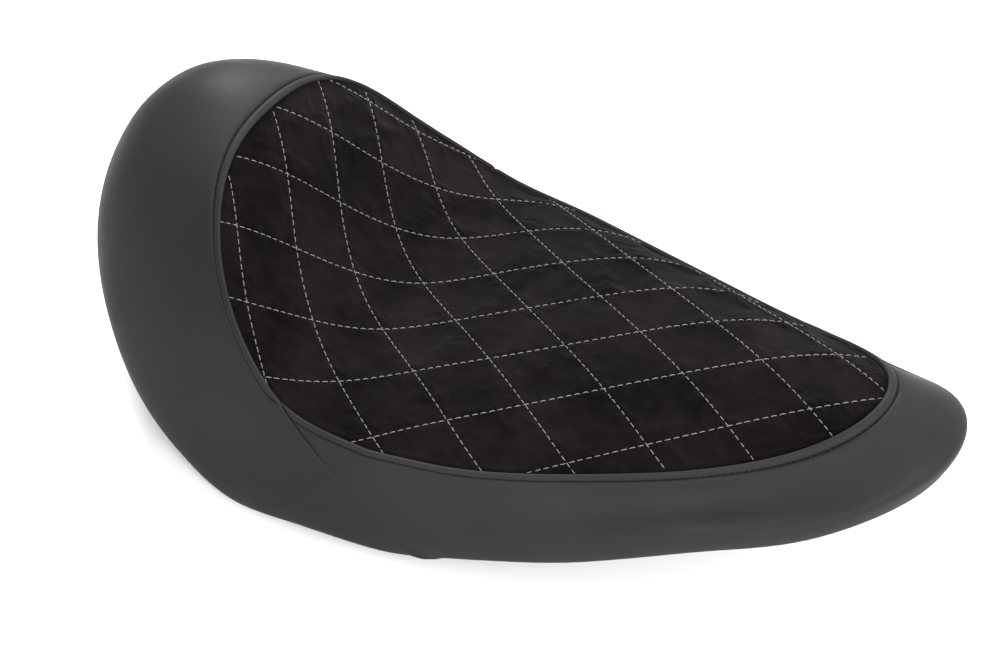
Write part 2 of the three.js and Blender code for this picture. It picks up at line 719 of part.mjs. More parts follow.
const SCREW_HOLE = SCREW_RADIUS + 0.5;

function rearStrap() {
  const radius = STRAP_WIDTH / 2;
  const line = [
    [STRAP_PAD.to, STRAP_TOP], [STRAP_BEND_X, STRAP_TOP], [TAB_BEND_X, TAB_TOP], [SCREW_X - radius, TAB_TOP],
  ];
  const outline = new THREE.Shape();
  outline.moveTo(STRAP_PAD.to, -radius);
  outline.lineTo(STRAP_PAD.to, radius);
  outline.lineTo(SCREW_X, radius);
  outline.absarc(SCREW_X, 0, radius, Math.PI / 2, 3 * Math.PI / 2, false);
  outline.closePath();
  let solid = toSolid(bentPlate(line, STRAP_WIDTH + 2)).intersect(raisedPlan(outline, 16));
  for (const x of STRAP_BOLT_X) {
    const hole = upright(BOLT_HOLE, STRAP_TOP - CUT, STRAP_TOP + CUT, x, 0, 14);
    solid = solid.subtract(toSolid(hole));
  }
  const screwHole = upright(SCREW_HOLE, TAB_TOP - CUT, TAB_TOP + CUT, SCREW_X, 0, 16);
  return toGeometry(solid.subtract(toSolid(screwHole)));
}

// Pieces round an axis that points down: heights are measured below the strap's underside.
const DOWN = at(0, 0, -1);
const WASHER = { hole: 3.3, radius: 8, thick: 1.2 };
const BOLT = { shank: 3, head: 5.6, rim: 1.4, crown: 3.2, high: 3.4, socket: 1.8, floor: 1.2 };
// The bolt's end stops this far short of the pad's upper face.
const BOLT_SHORT = 2.5;
const strapUnder = STRAP_TOP - PLATE;

function ring(inner, outer, low, high, sides) {
  return turned([[inner, low], [outer, low], [outer, high], [inner, high], [inner, low]], sides);
}

function strapBolt() {
  const head = WASHER.thick + GAP;
  const tip = strapUnder - GAP - STRAP_PAD.high + BOLT_SHORT;
  return turned([
    [0, tip], [BOLT.shank, tip], [BOLT.shank, head], [BOLT.head, head],
    [BOLT.head, head + BOLT.rim], [BOLT.crown, head + BOLT.high],
    [BOLT.socket, head + BOLT.high], [BOLT.socket, head + BOLT.floor], [0, head + BOLT.floor],
  ], 18);
}

const teeNut = turned([
  [TEE.bore, -TEE.depth], [TEE.barrel, -TEE.depth], [TEE.barrel, 0], [TEE.flange, 0],
  [TEE.flange, TEE.plate], [TEE.bore, TEE.plate], [TEE.bore, -TEE.depth],
], 16);

add('rear_strap', rearStrap(), blackSteel);
STRAP_BOLT_X.forEach((x, i) => {
  const place = at(x, 0, strapUnder - GAP);
  const washer = ring(WASHER.hole, WASHER.radius, 0, WASHER.thick, 18);
  add(`strap_washer_${i + 1}`, standing(washer, place, DOWN), zincSteel);
  add(`strap_bolt_${i + 1}`, standing(strapBolt(), place, DOWN), zincSteel);
  add(`tee_nut_${i + 1}`, standing(teeNut, at(x, 0, STRAP_PAD.high + GAP), UP), zincSteel);
});

// Thumb screw: a knurled knob above the tab, and a shank held by a nylon washer below it.
// Heights are measured up from the collar's lower face.
const COLLAR = { lift: 0.5, radius: 8, high: 1, sunk: 1 };
const STEM = { tip: 2.2, length: 22, chamfer: 1.5 };
const DISH = { radius: 7, deep: 1, over: 2 };
const HOLD_WASHER = { radius: 7.5, thick: 1.4 };

function knurledKnob() {
  const outline = new THREE.Shape();
  const points = KNURLS * 2;
  for (let i = 0; i < points; i += 1) {
    const angle = 2 * Math.PI * i / points;
    const radius = i % 2 ? KNOB_RADIUS : KNOB_RADIUS - KNURL_DEPTH;
    const [x, y] = [radius * Math.cos(angle), radius * Math.sin(angle)];
    if (i) outline.lineTo(x, y);
    else outline.moveTo(x, y);
  }
  outline.closePath();
  return new THREE.ExtrudeGeometry(outline, { depth: KNOB_HEIGHT, bevelEnabled: false });
}

function thumbScrew() {
  const collar = TAB_TOP + COLLAR.lift;
  const top = collar + COLLAR.high + KNOB_HEIGHT;
  const knob = toSolid(knurledKnob().translate(SCREW_X, 0, collar + COLLAR.high));
  const stem = turned([
    [0, -STEM.length], [STEM.tip, -STEM.length], [SCREW_RADIUS, STEM.chamfer - STEM.length],
    [SCREW_RADIUS, 0], [COLLAR.radius, 0], [COLLAR.radius, COLLAR.high + COLLAR.sunk],
    [0, COLLAR.high + COLLAR.sunk],
  ], 18);
  const dish = upright(DISH.radius, top - DISH.deep, top + DISH.over, SCREW_X, 0, 24);
  const body = knob.add(toSolid(standing(stem, at(SCREW_X, 0, collar), UP)));
  return toGeometry(body.subtract(toSolid(dish)));
}

add('thumb_screw', thumbScrew(), zincSteel);
const holdWasher = ring(SCREW_RADIUS + GAP, HOLD_WASHER.radius, 0, HOLD_WASHER.thick, 18);
add('screw_washer', standing(holdWasher, at(SCREW_X, 0, TAB_TOP - PLATE - GAP), DOWN), nylon);

// ---------------------------------------------------------------- front tongue

function frontTongue() {
  const low = TONGUE_TOP - TONGUE_DROP;
  const [bend, foot] = TONGUE_BENDS;
  const line = [[TONGUE_PAD.from, TONGUE_TOP], [bend, TONGUE_TOP], [foot, low], [TONGUE_TIP_X, low]];
  const half = TONGUE_WIDTH / 2;
  const outline = new THREE.Shape();
  outline.moveTo(TONGUE_PAD.from, -half);
  const [x, y] = [TONGUE_TIP_X - TONGUE_CORNER, half - TONGUE_CORNER];
  outline.lineTo(x, -half);
  outline.absarc(x, -y, TONGUE_CORNER, -Math.PI / 2, 0, false);
  outline.absarc(x, y, TONGUE_CORNER, 0, Math.PI / 2, false);
  outline.lineTo(TONGUE_PAD.from, half);
  outline.closePath();
  let solid = toSolid(bentPlate(line, TONGUE_WIDTH + 2)).intersect(raisedPlan(outline, 6));
  for (const rivet of TONGUE_RIVETS) {
    const hole = upright(RIVET_HOLE, TONGUE_TOP - CUT, TONGUE_TOP + CUT, ...rivet);
    solid = solid.subtract(toSolid(hole));
  }
  return toGeometry(solid);
}

add('front_tongue', frontTongue(), blackSteel);
TONGUE_RIVETS.forEach(([x, y], i) => {
  const low = TONGUE_TOP - PLATE - GAP;
  const high = TONGUE_PAD.high + GAP;
  const rivet = turned([
    [0, low - RIVET_HEAD_HEIGHT], [RIVET_CROWN, low - RIVET_HEAD_HEIGHT], [RIVET_HEAD, low - RIVET_RIM],
    [RIVET_HEAD, low], [RIVET_SHANK, low], [RIVET_SHANK, high], [RIVET_HEAD, high],
    [RIVET_HEAD, high + RIVET_RIM], [RIVET_CROWN, high + RIVET_HEAD_HEIGHT], [0, high + RIVET_HEAD_HEIGHT],
  ], 12);
  add(`tongue_rivet_${i + 1}`, standing(rivet, at(x, y, 0), UP), zincSteel);
});

// ---------------------------------------------------------------- bumpers and hem rivets

// Rubber foot, measured up from its lowest face, with a well for its screw's head.
const WELL = { radius: 5.2, deep: 4 };
const BUMPER_SOLE = { radius: 9.6, slope: 3 };
const SCREW_HEAD = { from: 1, crown: 3, rim: 2, radius: 4.5, to: WELL.deep - GAP };
const bumperShape = turned([
  [BUMPER_HOLE, WELL.deep], [WELL.radius, WELL.deep], [WELL.radius, 0], [BUMPER_SOLE.radius, 0],
  [BUMPER_RADIUS, BUMPER_SOLE.slope], [BUMPER_RADIUS, BUMPER_HEIGHT],
  [BUMPER_HOLE, BUMPER_HEIGHT], [BUMPER_HOLE, WELL.deep],
], 14);
const bumperScrewShape = turned([
  [0, SCREW_HEAD.from], [SCREW_HEAD.crown, SCREW_HEAD.from], [SCREW_HEAD.radius, SCREW_HEAD.rim],
  [SCREW_HEAD.radius, SCREW_HEAD.to], [BUMPER_SCREW, SCREW_HEAD.to],
  [BUMPER_SCREW, BUMPER_SCREW_DEPTH], [0, BUMPER_SCREW_DEPTH],
], 8);
bumpers.forEach(([x, y, foot], i) => {
  add(`bumper_${i + 1}`, standing(bumperShape, at(x, y, foot), UP), rubber);
  add(`bumper_screw_${i + 1}`, standing(bumperScrewShape, at(x, y, foot), UP), zincSteel);
});

const hemRivetShape = turned([
  [0, -HEM_RIVET_DOME], [HEM_RIVET_CROWN, HEM_RIVET_RIM - HEM_RIVET_DOME],
  [HEM_RIVET_HEAD, -HEM_RIVET_RIM], [HEM_RIVET_HEAD, 0],
  [HEM_RIVET_SHANK, 0], [HEM_RIVET_SHANK, HEM_RIVET_LENGTH], [0, HEM_RIVET_LENGTH],
], 8);
hemRivets.forEach((angle, i) => {
  const normal = panNormal(angle, HEM_RIVET_INWARD);
  const depth = SKIN + WRAP_GAP + HEM_RIVET_CLEAR;
  const place = panUnder(angle, HEM_RIVET_INWARD).addScaledVector(normal, depth);
  add(`hem_rivet_${i + 1}`, standing(hemRivetShape, place, normal.clone().negate()), blackSteel);
});

export default seat;
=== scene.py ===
"""Motorcycle solo seat: what it looks like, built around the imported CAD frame.

Lengths in the formulas are millimetres, as in the CAD; every mesh is made in metres.
+X points to the nose, +Z up, and both sides of the seat are the same.
"""

import math

import bmesh
import bpy
import numpy as np
from mathutils import Matrix, Vector


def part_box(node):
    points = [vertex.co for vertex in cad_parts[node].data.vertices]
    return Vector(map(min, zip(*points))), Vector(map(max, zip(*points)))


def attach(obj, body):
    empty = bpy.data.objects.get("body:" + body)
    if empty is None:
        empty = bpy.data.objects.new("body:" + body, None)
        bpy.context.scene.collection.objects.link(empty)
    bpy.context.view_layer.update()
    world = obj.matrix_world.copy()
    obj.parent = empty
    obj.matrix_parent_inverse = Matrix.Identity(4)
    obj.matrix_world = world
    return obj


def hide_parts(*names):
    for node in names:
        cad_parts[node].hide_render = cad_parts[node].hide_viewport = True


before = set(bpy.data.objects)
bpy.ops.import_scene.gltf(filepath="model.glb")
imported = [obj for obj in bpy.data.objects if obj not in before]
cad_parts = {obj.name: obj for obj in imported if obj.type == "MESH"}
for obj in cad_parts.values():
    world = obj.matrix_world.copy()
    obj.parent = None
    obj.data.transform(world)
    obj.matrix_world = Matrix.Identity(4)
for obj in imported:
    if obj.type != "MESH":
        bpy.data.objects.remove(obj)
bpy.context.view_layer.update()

MM = 0.001
DEG = math.pi / 180

# ---------------------------------------------------------------- driving dimensions
# The same as in the CAD: the riding surface, drawn flat as s along and t across.
INSERT_REAR_X, INSERT_REAR_Z = -137, 186.5
INSERT_LENGTH = 417
WIDEST_S = 175
HALF_WIDTH_T = 126
FRONT_OUTLINE_POWER = 1.2
REAR_OUTLINE_POWER = 0.39
CORNER_ANGLE = 108
FRONT_EASE = [(0, 0.1), (30, 0.4), (60, -0.2), (78, 0.9), (91, -1), (CORNER_ANGLE, 1.6)]
REAR_EASE = [(CORNER_ANGLE, 1.6), (131, -0.8), (155, 0.9), (180, -0.5)]
SLOPE = [(0, -35), (50, -60), (100, -44), (150, 4), (210, 9), (320, 8), (440, 0)]
BEND = [(0, 0.35), (100, -0.1), (180, -0.05), (300, 0.42), (420, 1.5)]
FLARE = [(0, 0.55), (100, 0.25), (180, 0.35), (300, 0.55), (420, 0.8)]
LEAN = [(0, 0.1), (180, -0.02), (420, -0.08)]

# Lower outline of the cover, and how the side bands leave the insert and the hem.
NOSE_X, REAR_X, WIDEST_X = 273, -249, -59
HALF_WIDTH = 136
NOSE_PLAN_POWER = 1.55
REAR_PLAN_POWER = 0.45
HEM_HEIGHT = [
    (REAR_X, 76.5), (-152, 13.5), (-105, 0.2), (-50, 6.5), (25, 10.5),
    (60, 22), (110, 37), (170, 59.5), (225, 73.5), (NOSE_X, 94),
]
UPPER_PULL = [(0, 44.5), (45, 36.5), (90, 32.5), (140, 51), (180, 71)]
LOWER_PULL = [(0, 20), (45, 21.5), (90, 28.5), (140, 35), (180, 64)]
CREASE = [(0, 2), (45, 35.5), (90, 51.5), (140, 56), (180, 0)]
HEM_FLARE = [(0, 14.5), (90, 10), (180, 8.5)]
HEM_ROLL = 8
HEM_HOOK = 1.95
SEAM_SPREAD = 1.6
SEAM_ANGLE = [
    (0, 90 + (CORNER_ANGLE - 90) / SEAM_SPREAD), (0.06, 98.6), (0.12, 96.2), (0.22, 92.8),
    (0.32, 89.5), (0.45, 86), (0.61, 82.4), (0.8, 78.9), (1, 76.3), (1.4, 73.5), (3, 72),
]
MIDDLE_ROUND = 6

# Layers.
COVER = 1.8
WRAP_GAP = 1
PAN = 3
PAN_INSET = 5
PAN_EDGE_LIFT = 4.5
PAN_RISE = 38
HEM_START, HEM_END = 6, 24

# Quilting: length and width of a diamond, and of a stitch.
DIAMOND_LENGTH = 70
DIAMOND_WIDTH = DIAMOND_LENGTH * 2 / 3
STITCHES_PER_SIDE = 9.2


# ---------------------------------------------------------------- curves and surfaces

def through(stations):
    """Smooth curve through stations (place, value)."""
    place, value = (np.array(column, float) for column in zip(*stations))
    gap = np.diff(place)
    rise = np.diff(value) / gap
    inner = (rise[:-1] * gap[1:] + rise[1:] * gap[:-1]) / (gap[1:] + gap[:-1])
    slope = np.concatenate([rise[:1], inner, rise[-1:]])

    def curve(x):
        x = np.clip(x, place[0], place[-1])
        i = np.clip(np.searchsorted(place, x, side="right") - 1, 0, len(place) - 2)
        h = gap[i]
        u = (x - place[i]) / h
        w = 1 - u
        return (
            (1 + 2 * u) * w * w * value[i]
            + u * w * w * h * slope[i]
            + u * u * (3 - 2 * u) * value[i + 1]
            - u * u * w * h * slope[i + 1]
        )

    return curve


slope_at, bend_at, flare_at, lean_at = map(through, (SLOPE, BEND, FLARE, LEAN))
front_ease_at, rear_ease_at = through(FRONT_EASE), through(REAR_EASE)
hem_height_at = through(HEM_HEIGHT)
upper_pull_at, lower_pull_at = through(UPPER_PULL), through(LOWER_PULL)
crease_at, hem_flare_at = through(CREASE), through(HEM_FLARE)
seam_turn_at = through(SEAM_ANGLE)


def unit(v):
    return v / np.maximum(np.linalg.norm(v, axis=-1, keepdims=True), 1e-12)


def smooth(low, high, x):
    """0 below low, 1 above high, and an even rise between."""
    u = np.clip((x - low) / (high - low), 0, 1)
    return u * u * (3 - 2 * u)


def hump(x):
    """Bell curve: 1 at 0, and nearly 0 beyond 2."""
    return np.exp(-(x**2))


def dot(a, b):
    return (a * b).sum(-1, keepdims=True)


def run_along(points):
    """Distance along a line of points, from its first."""
    return np.concatenate([[0], np.cumsum(np.linalg.norm(np.diff(points, axis=0), axis=-1))])


def nearest_of(points, line):
    """For each point: which point of a line is nearest, and how far it is."""
    nearest = np.empty(len(points), int)
    for start in range(0, len(points), 4000):
        part = points[start : start + 4000, None]
        nearest[start : start + 4000] = ((part - line) ** 2).sum(-1).argmin(1)
    return nearest, np.sqrt(((points - line[nearest]) ** 2).sum(-1))


# Middle line of the riding surface, from a little behind the insert to past its front.
MIDDLE_STEP = 2
MIDDLE_FROM = -20
middle_s = np.arange(MIDDLE_FROM, INSERT_LENGTH + 40, MIDDLE_STEP)
middle_angle = slope_at(middle_s[:-1] + MIDDLE_STEP / 2) * DEG
middle_x = np.concatenate([[0], np.cumsum(MIDDLE_STEP * np.cos(middle_angle))])
middle_z = np.concatenate([[0], np.cumsum(MIDDLE_STEP * np.sin(middle_angle))])
middle_x += INSERT_REAR_X - np.interp(0, middle_s, middle_x)
middle_z += INSERT_REAR_Z - np.interp(0, middle_s, middle_z)
BEND_STEPS = (np.arange(12) + 0.5) / 12


def saddle(s, t):
    """Point of the riding surface at s along and t across."""
    reach = np.abs(t)[..., None] * BEND_STEPS
    angle = (bend_at(s) / 100)[..., None] * reach + (flare_at(s) / 1e6)[..., None] * reach**3
    across = np.cos(angle).mean(-1) * t
    down = np.sin(angle).mean(-1) * np.abs(t)
    ahead = lean_at(s) / 100 * t * t
    slope = slope_at(s) * DEG
    x = np.interp(s, middle_s, middle_x) + np.cos(slope) * ahead + np.sin(slope) * down
    z = np.interp(s, middle_s, middle_z) + np.sin(slope) * ahead - np.cos(slope) * down
    return np.stack([x, across, z], -1)


def degrees_round(angle):
    """Angle from the nose on either side, 0 to 180 degrees, but even across the middle."""
    around = np.arccos(np.clip(np.cos(angle), -1, 1)) / DEG
    off = np.minimum(around, 180 - around)
    off = np.where(off < MIDDLE_ROUND, (off * off / MIDDLE_ROUND + MIDDLE_ROUND) / 2, off)
    return np.where(around < 90, off, 180 - off)


def seam_angle_at(v):
    """Angle of the seam: behind the widest place the same degrees are further apart."""
    turn = seam_turn_at(v)
    return np.where(turn > 90, 90 + SEAM_SPREAD * (turn - 90), turn)


def saddle_normal(s, t):
    along = saddle(s + 1, t) - saddle(s - 1, t)
    across = saddle(s, t + 1) - saddle(s, t - 1)
    return unit(np.cross(along, across))


def insert_edge(angle):
    """Edge of the insert on the flat cover, at an angle round the seat: 0 is the nose."""
    c = np.cos(angle)
    reach = np.abs(c)
    front = np.sqrt(np.clip(1 - reach**FRONT_OUTLINE_POWER, 0, None))
    rear = np.clip(1 - reach * reach, 0, None) ** REAR_OUTLINE_POWER
    ahead = np.where(c > 0, INSERT_LENGTH - WIDEST_S, WIDEST_S) * c
    aside = np.sign(np.sin(angle)) * HALF_WIDTH_T * np.where(c > 0, front, rear)
    around = degrees_round(angle)
    ease = np.where(around < CORNER_ANGLE, front_ease_at(around), rear_ease_at(around))
    full = 1 + ease / 100
    return WIDEST_S + full * ahead, full * aside


TURN = 1e-3


def edge_outward(angle):
    """Direction out of the insert's edge on the flat cover."""
    s0, t0 = insert_edge(angle - TURN)
    s1, t1 = insert_edge(angle + TURN)
    out = unit(np.stack([t1 - t0, s0 - s1], -1))
    return out[..., 0], out[..., 1]


def hem_corner(angle):
    """Lower corner of the cover at an angle round the seat."""
    c = np.cos(angle)
    reach = np.abs(c)
    x = np.where(c > 0, WIDEST_X + (NOSE_X - WIDEST_X) * reach, WIDEST_X - (WIDEST_X - REAR_X) * reach)
    nose = np.sqrt(np.clip(1 - reach**NOSE_PLAN_POWER, 0, None))
    rear = np.clip(1 - reach * reach, 0, None) ** REAR_PLAN_POWER
    y = np.sign(np.sin(angle)) * HALF_WIDTH * np.where(c > 0, nose, rear)
    return np.stack([x, y, hem_height_at(x)], -1)


def hem_outward(angle):
    along = hem_corner(angle + TURN) - hem_corner(angle - TURN)
    level = np.stack([along[..., 1], -along[..., 0], 0 * along[..., 0]], -1)
    return unit(level)


def bezier(a, b, c, d, u):
    u = u[..., None]
    w = 1 - u
    return w**3 * a + 3 * u * w * w * b + 3 * u * u * w * c + u**3 * d


def band_curve(angle):
    """Control points of the side band at an angle round the seat, and how its hem rises."""
    s, t = insert_edge(angle)
    out_s, out_t = edge_outward(angle)
    top = saddle(s, t)
    away = unit(top - saddle(s - 2 * out_s, t - 2 * out_t))
    corner = hem_corner(angle)
    chord = corner - top
    down = unit(chord - dot(chord, away) * away)
    around = degrees_round(angle)
    crease = (crease_at(around) * DEG)[..., None]
    leave = away * np.cos(crease) + down * np.sin(crease)
    flare = (hem_flare_at(around) * DEG)[..., None]
    rise = hem_outward(angle) * np.sin(flare)
    rise[..., 2] = np.cos(flare[..., 0])
    end = corner + HEM_ROLL * rise
    upper = top + upper_pull_at(around)[..., None] * leave
    lower = end + lower_pull_at(around)[..., None] * rise
    return top, upper, lower, end, rise


PAN_MIDDLE = np.array([WIDEST_X, 0, 0], float)


def pan_edge(angle):
    edge = hem_corner(angle) - PAN_INSET * hem_outward(angle)
    edge[..., 2] = 0
    return edge


def pan_reach(angle):
    return np.linalg.norm(pan_edge(angle) - PAN_MIDDLE, axis=-1)


def pan_under(angle, inward):
    """Underside of the pan, at a distance in from its edge."""
    out = np.clip(1 - inward / pan_reach(angle), 0, None)
    point = PAN_MIDDLE + out[..., None] * (pan_edge(angle) - PAN_MIDDLE)
    point[..., 2] = hem_height_at(point[..., 0]) + PAN_EDGE_LIFT + PAN_RISE * (1 - out**4)
    return point


def pan_normal(angle, inward):
    around = pan_under(angle + TURN, inward) - pan_under(angle - TURN, inward)
    across = pan_under(angle, inward + 1) - pan_under(angle, inward - 1)
    normal = unit(np.cross(around, across))
    return normal * -np.sign(normal[..., 2:])


def band_point(angle, v):
    """Nominal cover outside the insert: v is 1 at its edge, 2 at the bottom of the band,
    3 where the hem starts to lie on the pan and 4 at its cut edge."""
    top, upper, lower, end, rise = band_curve(angle)
    band = bezier(top, upper, lower, end, np.clip(v - 1, 0, 1))
    inward = HEM_START + (HEM_END - HEM_START) * np.clip(v - 3, 0, None)
    on_pan = pan_under(angle, inward) + (COVER + WRAP_GAP) * pan_normal(angle, inward)
    further = unit(pan_under(angle, inward + 1) - pan_under(angle, inward))
    lowest = end - HEM_HOOK * HEM_ROLL * rise
    roll = bezier(end, lowest, on_pan - 0.9 * HEM_ROLL * further, on_pan, np.clip(v - 2, 0, 1))
    v = v[..., None]
    return np.where(v <= 2, band, np.where(v < 3, roll, on_pan))


# The seam between the bands turns round the seat as it runs down from the insert.
SEAM_TOP = CORNER_ANGLE * DEG


def front_angle(at_edge, v):
    return at_edge * seam_angle_at(v - 1) * DEG / SEAM_TOP


def rear_angle(at_edge, v):
    turn = (math.pi - seam_angle_at(v - 1) * DEG) / (math.pi - SEAM_TOP)
    return math.pi - (math.pi - at_edge) * turn


def edge_run(start, stop):
    """Close angles from one to another, and how far along the insert's edge each one is."""
    angles = np.linspace(start, stop, 4001)
    return angles, run_along(saddle(*insert_edge(angles)))


def wobble(points, size, seed):
    """Smooth uneven field, about -1 to 1, with bumps of a size in millimetres."""
    rng = np.random.RandomState(seed)
    total = np.zeros(points.shape[:-1])
    for _ in range(10):
        direction = rng.normal(size=3)
        direction /= np.linalg.norm(direction)
        wave = 2 * math.pi / (size * rng.uniform(1.4, 3))
        total += np.sin(points @ direction * wave + rng.uniform(0, 2 * math.pi))
    return total / 3.2


# ---------------------------------------------------------------- making objects

def new_object(name, points, faces, material, body="seat", flat=False):
    """A piece from points in millimetres, riding on a body."""
    mesh = bpy.data.meshes.new(name)
    mesh.from_pydata((np.asarray(points, float) * MM).tolist(), [], faces)
    mesh.validate()
    mesh.materials.append(material)
    mesh.polygons.foreach_set("use_smooth", [not flat] * len(mesh.polygons))
    mesh.update()
    piece = bpy.data.objects.new(name, mesh)
    bpy.context.scene.collection.objects.link(piece)
    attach(piece, body)
    return piece


def weld(piece):
    """Joins points that coincide and turns the faces outwards."""
    shape = bmesh.new()
    shape.from_mesh(piece.data)
    bmesh.ops.remove_doubles(shape, verts=shape.verts, dist=1e-6)
    bmesh.ops.recalc_face_normals(shape, faces=shape.faces)
    shape.to_mesh(piece.data)
    shape.free()
    piece.data.update()


def solid_piece(name, points, faces, material, body="seat"):
    piece = new_object(name, points, faces, material, body)
    weld(piece)
    return piece


def grid_faces(rows, columns, closed=False):
    """Squares of a grid of points, row by row. A closed grid joins its last row to its first."""
    i = np.arange(rows if closed else rows - 1)[:, None]
    j = np.arange(columns - 1)[None, :]
    a = i * columns + j
    d = (i + 1) % rows * columns + j
    return np.stack([a, a + 1, d + 1, d], -1).reshape(-1, 4).tolist()


def tube_faces(sections, sides):
    """Faces through closed sections, with flat ends."""
    number = np.arange(sections * sides).reshape(sections, sides)
    low, high = number[:-1], number[1:]
    walls = np.stack([low, np.roll(low, -1, 1), np.roll(high, -1, 1), high], -1)
    return walls.reshape(-1, 4).tolist() + [number[0, ::-1].tolist(), number[-1].tolist()]


def thick_sheet(outer, inner):
    """Points and faces of a sheet between two grids of the same shape."""
    rows, columns = outer.shape[:2]
    count = rows * columns
    points = np.concatenate([outer.reshape(-1, 3), inner.reshape(-1, 3)])
    faces = grid_faces(rows, columns)
    faces += [[k + count for k in face[::-1]] for face in faces]
    number = np.arange(count).reshape(rows, columns)
    rim = np.concatenate([number[0, :-1], number[:-1, -1], number[-1, :0:-1], number[:0:-1, 0]])
    following = np.roll(rim, -1)
    faces += np.stack([following, rim, rim + count, following + count], -1).tolist()
    return points, faces


def grid_normals(points):
    """Unit normals of a grid of points that closes on itself."""
    along = np.roll(points, -1, 0) - np.roll(points, 1, 0)
    return unit(np.cross(np.gradient(points, axis=1), along))


# ---------------------------------------------------------------- materials

def new_material(name, color, roughness, specular=0.5, metallic=0.0, sheen=0.0):
    material = bpy.data.materials.new(name)
    material.use_nodes = True
    shader = material.node_tree.nodes["Principled BSDF"]
    shader.inputs["Base Color"].default_value = (*color, 1)
    shader.inputs["Roughness"].default_value = roughness
    shader.inputs["Specular IOR Level"].default_value = specular
    shader.inputs["Metallic"].default_value = metallic
    shader.inputs["Sheen Weight"].default_value = sheen
    return material, material.node_tree, shader


def place_on(tree):
    return tree.nodes.new("ShaderNodeTexCoord").outputs["Object"]


def noise(tree, scale, detail=4, rough=0.55, stretch=None):
    """Value of a noise texture over the object, bumps scale metres across."""
    node = tree.nodes.new("ShaderNodeTexNoise")
    node.inputs["Scale"].default_value = 1 / scale
    node.inputs["Detail"].default_value = detail
    node.inputs["Roughness"].default_value = rough
    source = place_on(tree)
    if stretch:
        mapping = tree.nodes.new("ShaderNodeMapping")
        mapping.inputs["Scale"].default_value = stretch
        tree.links.new(source, mapping.inputs["Vector"])
        source = mapping.outputs["Vector"]
    tree.links.new(source, node.inputs["Vector"])
    return node.outputs["Fac"]


def ranged(tree, value, low, high, to_low, to_high):
    node = tree.nodes.new("ShaderNodeMapRange")
    node.inputs["From Min"].default_value = low
    node.inputs["From Max"].default_value = high
    node.inputs["To Min"].default_value = to_low
    node.inputs["To Max"].default_value = to_high
    tree.links.new(value, node.inputs["Value"])
    return node.outputs["Result"]


def combined(tree, operation, a, b):
    node = tree.nodes.new("ShaderNodeMath")
    node.operation = operation
    for socket, value in zip(node.inputs, (a, b)):
        if isinstance(value, (int, float)):
            socket.default_value = value
        else:
            tree.links.new(value, socket)
    return node.outputs[0]


def between(tree, factor, first, second):
    """Colour that goes from first to second with a factor."""
    node = tree.nodes.new("ShaderNodeMix")
    node.data_type = "RGBA"
    tree.links.new(factor, node.inputs["Factor"])
    for socket, value in zip([s for s in node.inputs if s.type == "RGBA"], (first, second)):
        if isinstance(value, tuple):
            socket.default_value = (*value, 1)
        else:
            tree.links.new(value, socket)
    return next(s for s in node.outputs if s.type == "RGBA")


def colored(tree, shader, value, low, high, first, second):
    """Base colour that goes from first to second as a value goes from low to high."""
    share = ranged(tree, value, low, high, 0, 1)
    tree.links.new(between(tree, share, first, second), shader.inputs["Base Color"])


def bumped(tree, shader, height, strength, distance):
    node = tree.nodes.new("ShaderNodeBump")
    node.inputs["Strength"].default_value = strength
    node.inputs["Distance"].default_value = distance
    tree.links.new(height, node.inputs["Height"])
    tree.links.new(node.outputs["Normal"], shader.inputs["Normal"])


def suede_material():
    material, tree, shader = new_material("suede", (0.003, 0.0025, 0.0025), 0.95, 0.02, sheen=0.018)
    shader.inputs["Sheen Roughness"].default_value = 0.45
    clouds = noise(tree, 0.045, 3, 0.5)
    brushed = noise(tree, 0.012, 5, 0.6, (1, 1.6, 1))
    fibres = noise(tree, 0.0007, 3, 0.7)
    clouds = combined(tree, "MULTIPLY", clouds, 0.62)
    brushed = combined(tree, "MULTIPLY", brushed, 0.38)
    nap = combined(tree, "ADD", clouds, brushed)
    shade = ranged(tree, nap, 0.38, 0.62, 0, 1)
    color = between(tree, shade, (0.0006, 0.00035, 0.00035), (0.0042, 0.0031, 0.0032))
    flecks = ranged(tree, fibres, 0.35, 0.7, 0, 0.55)
    color = between(tree, flecks, color, (0.0054, 0.0041, 0.0042))
    tree.links.new(color, shader.inputs["Base Color"])
    bumped(tree, shader, fibres, 0.35, 0.0004)
    return material


def vinyl_material():
    material, tree, shader = new_material("vinyl", (0.013, 0.012, 0.013), 0.46, 0.04)
    grain_node = tree.nodes.new("ShaderNodeTexVoronoi")
    grain_node.feature = "F1"
    grain_node.inputs["Scale"].default_value = 1 / 0.0011
    tree.links.new(place_on(tree), grain_node.inputs["Vector"])
    grain = ranged(tree, grain_node.outputs["Distance"], 0.1, 0.75, 1, 0)
    soft = noise(tree, 0.0016, 3, 0.6)
    height = combined(tree, "ADD", grain, combined(tree, "MULTIPLY", soft, 0.7))
    broad = noise(tree, 0.11, 2, 0.4)
    colored(tree, shader, broad, 0.35, 0.65, (0.0122, 0.0115, 0.0121), (0.0153, 0.0143, 0.0153))
    worn = ranged(tree, noise(tree, 0.03, 4, 0.6), 0.3, 0.7, 0.46, 0.56)
    tree.links.new(worn, shader.inputs["Roughness"])
    bumped(tree, shader, height, 0.18, 0.00012)
    return material


def times(share, color):
    return tuple(share * c for c in color)


def thread_material(name, color, gloss):
    material, tree, shader = new_material(name, color, 0.65, gloss, sheen=gloss / 2)
    fibres = noise(tree, 0.00035, 3, 0.6)
    colored(tree, shader, fibres, 0.3, 0.65, times(0.55, color), color)
    bumped(tree, shader, fibres, 0.4, 0.0002)
    return material


def foam_material(name, color):
    material, tree, shader = new_material(name, color, 0.95, 0.2)
    cells = noise(tree, 0.0012, 4, 0.7)
    colored(tree, shader, cells, 0.3, 0.6, times(0.7, color), color)
    bumped(tree, shader, cells, 0.6, 0.0006)
    return material


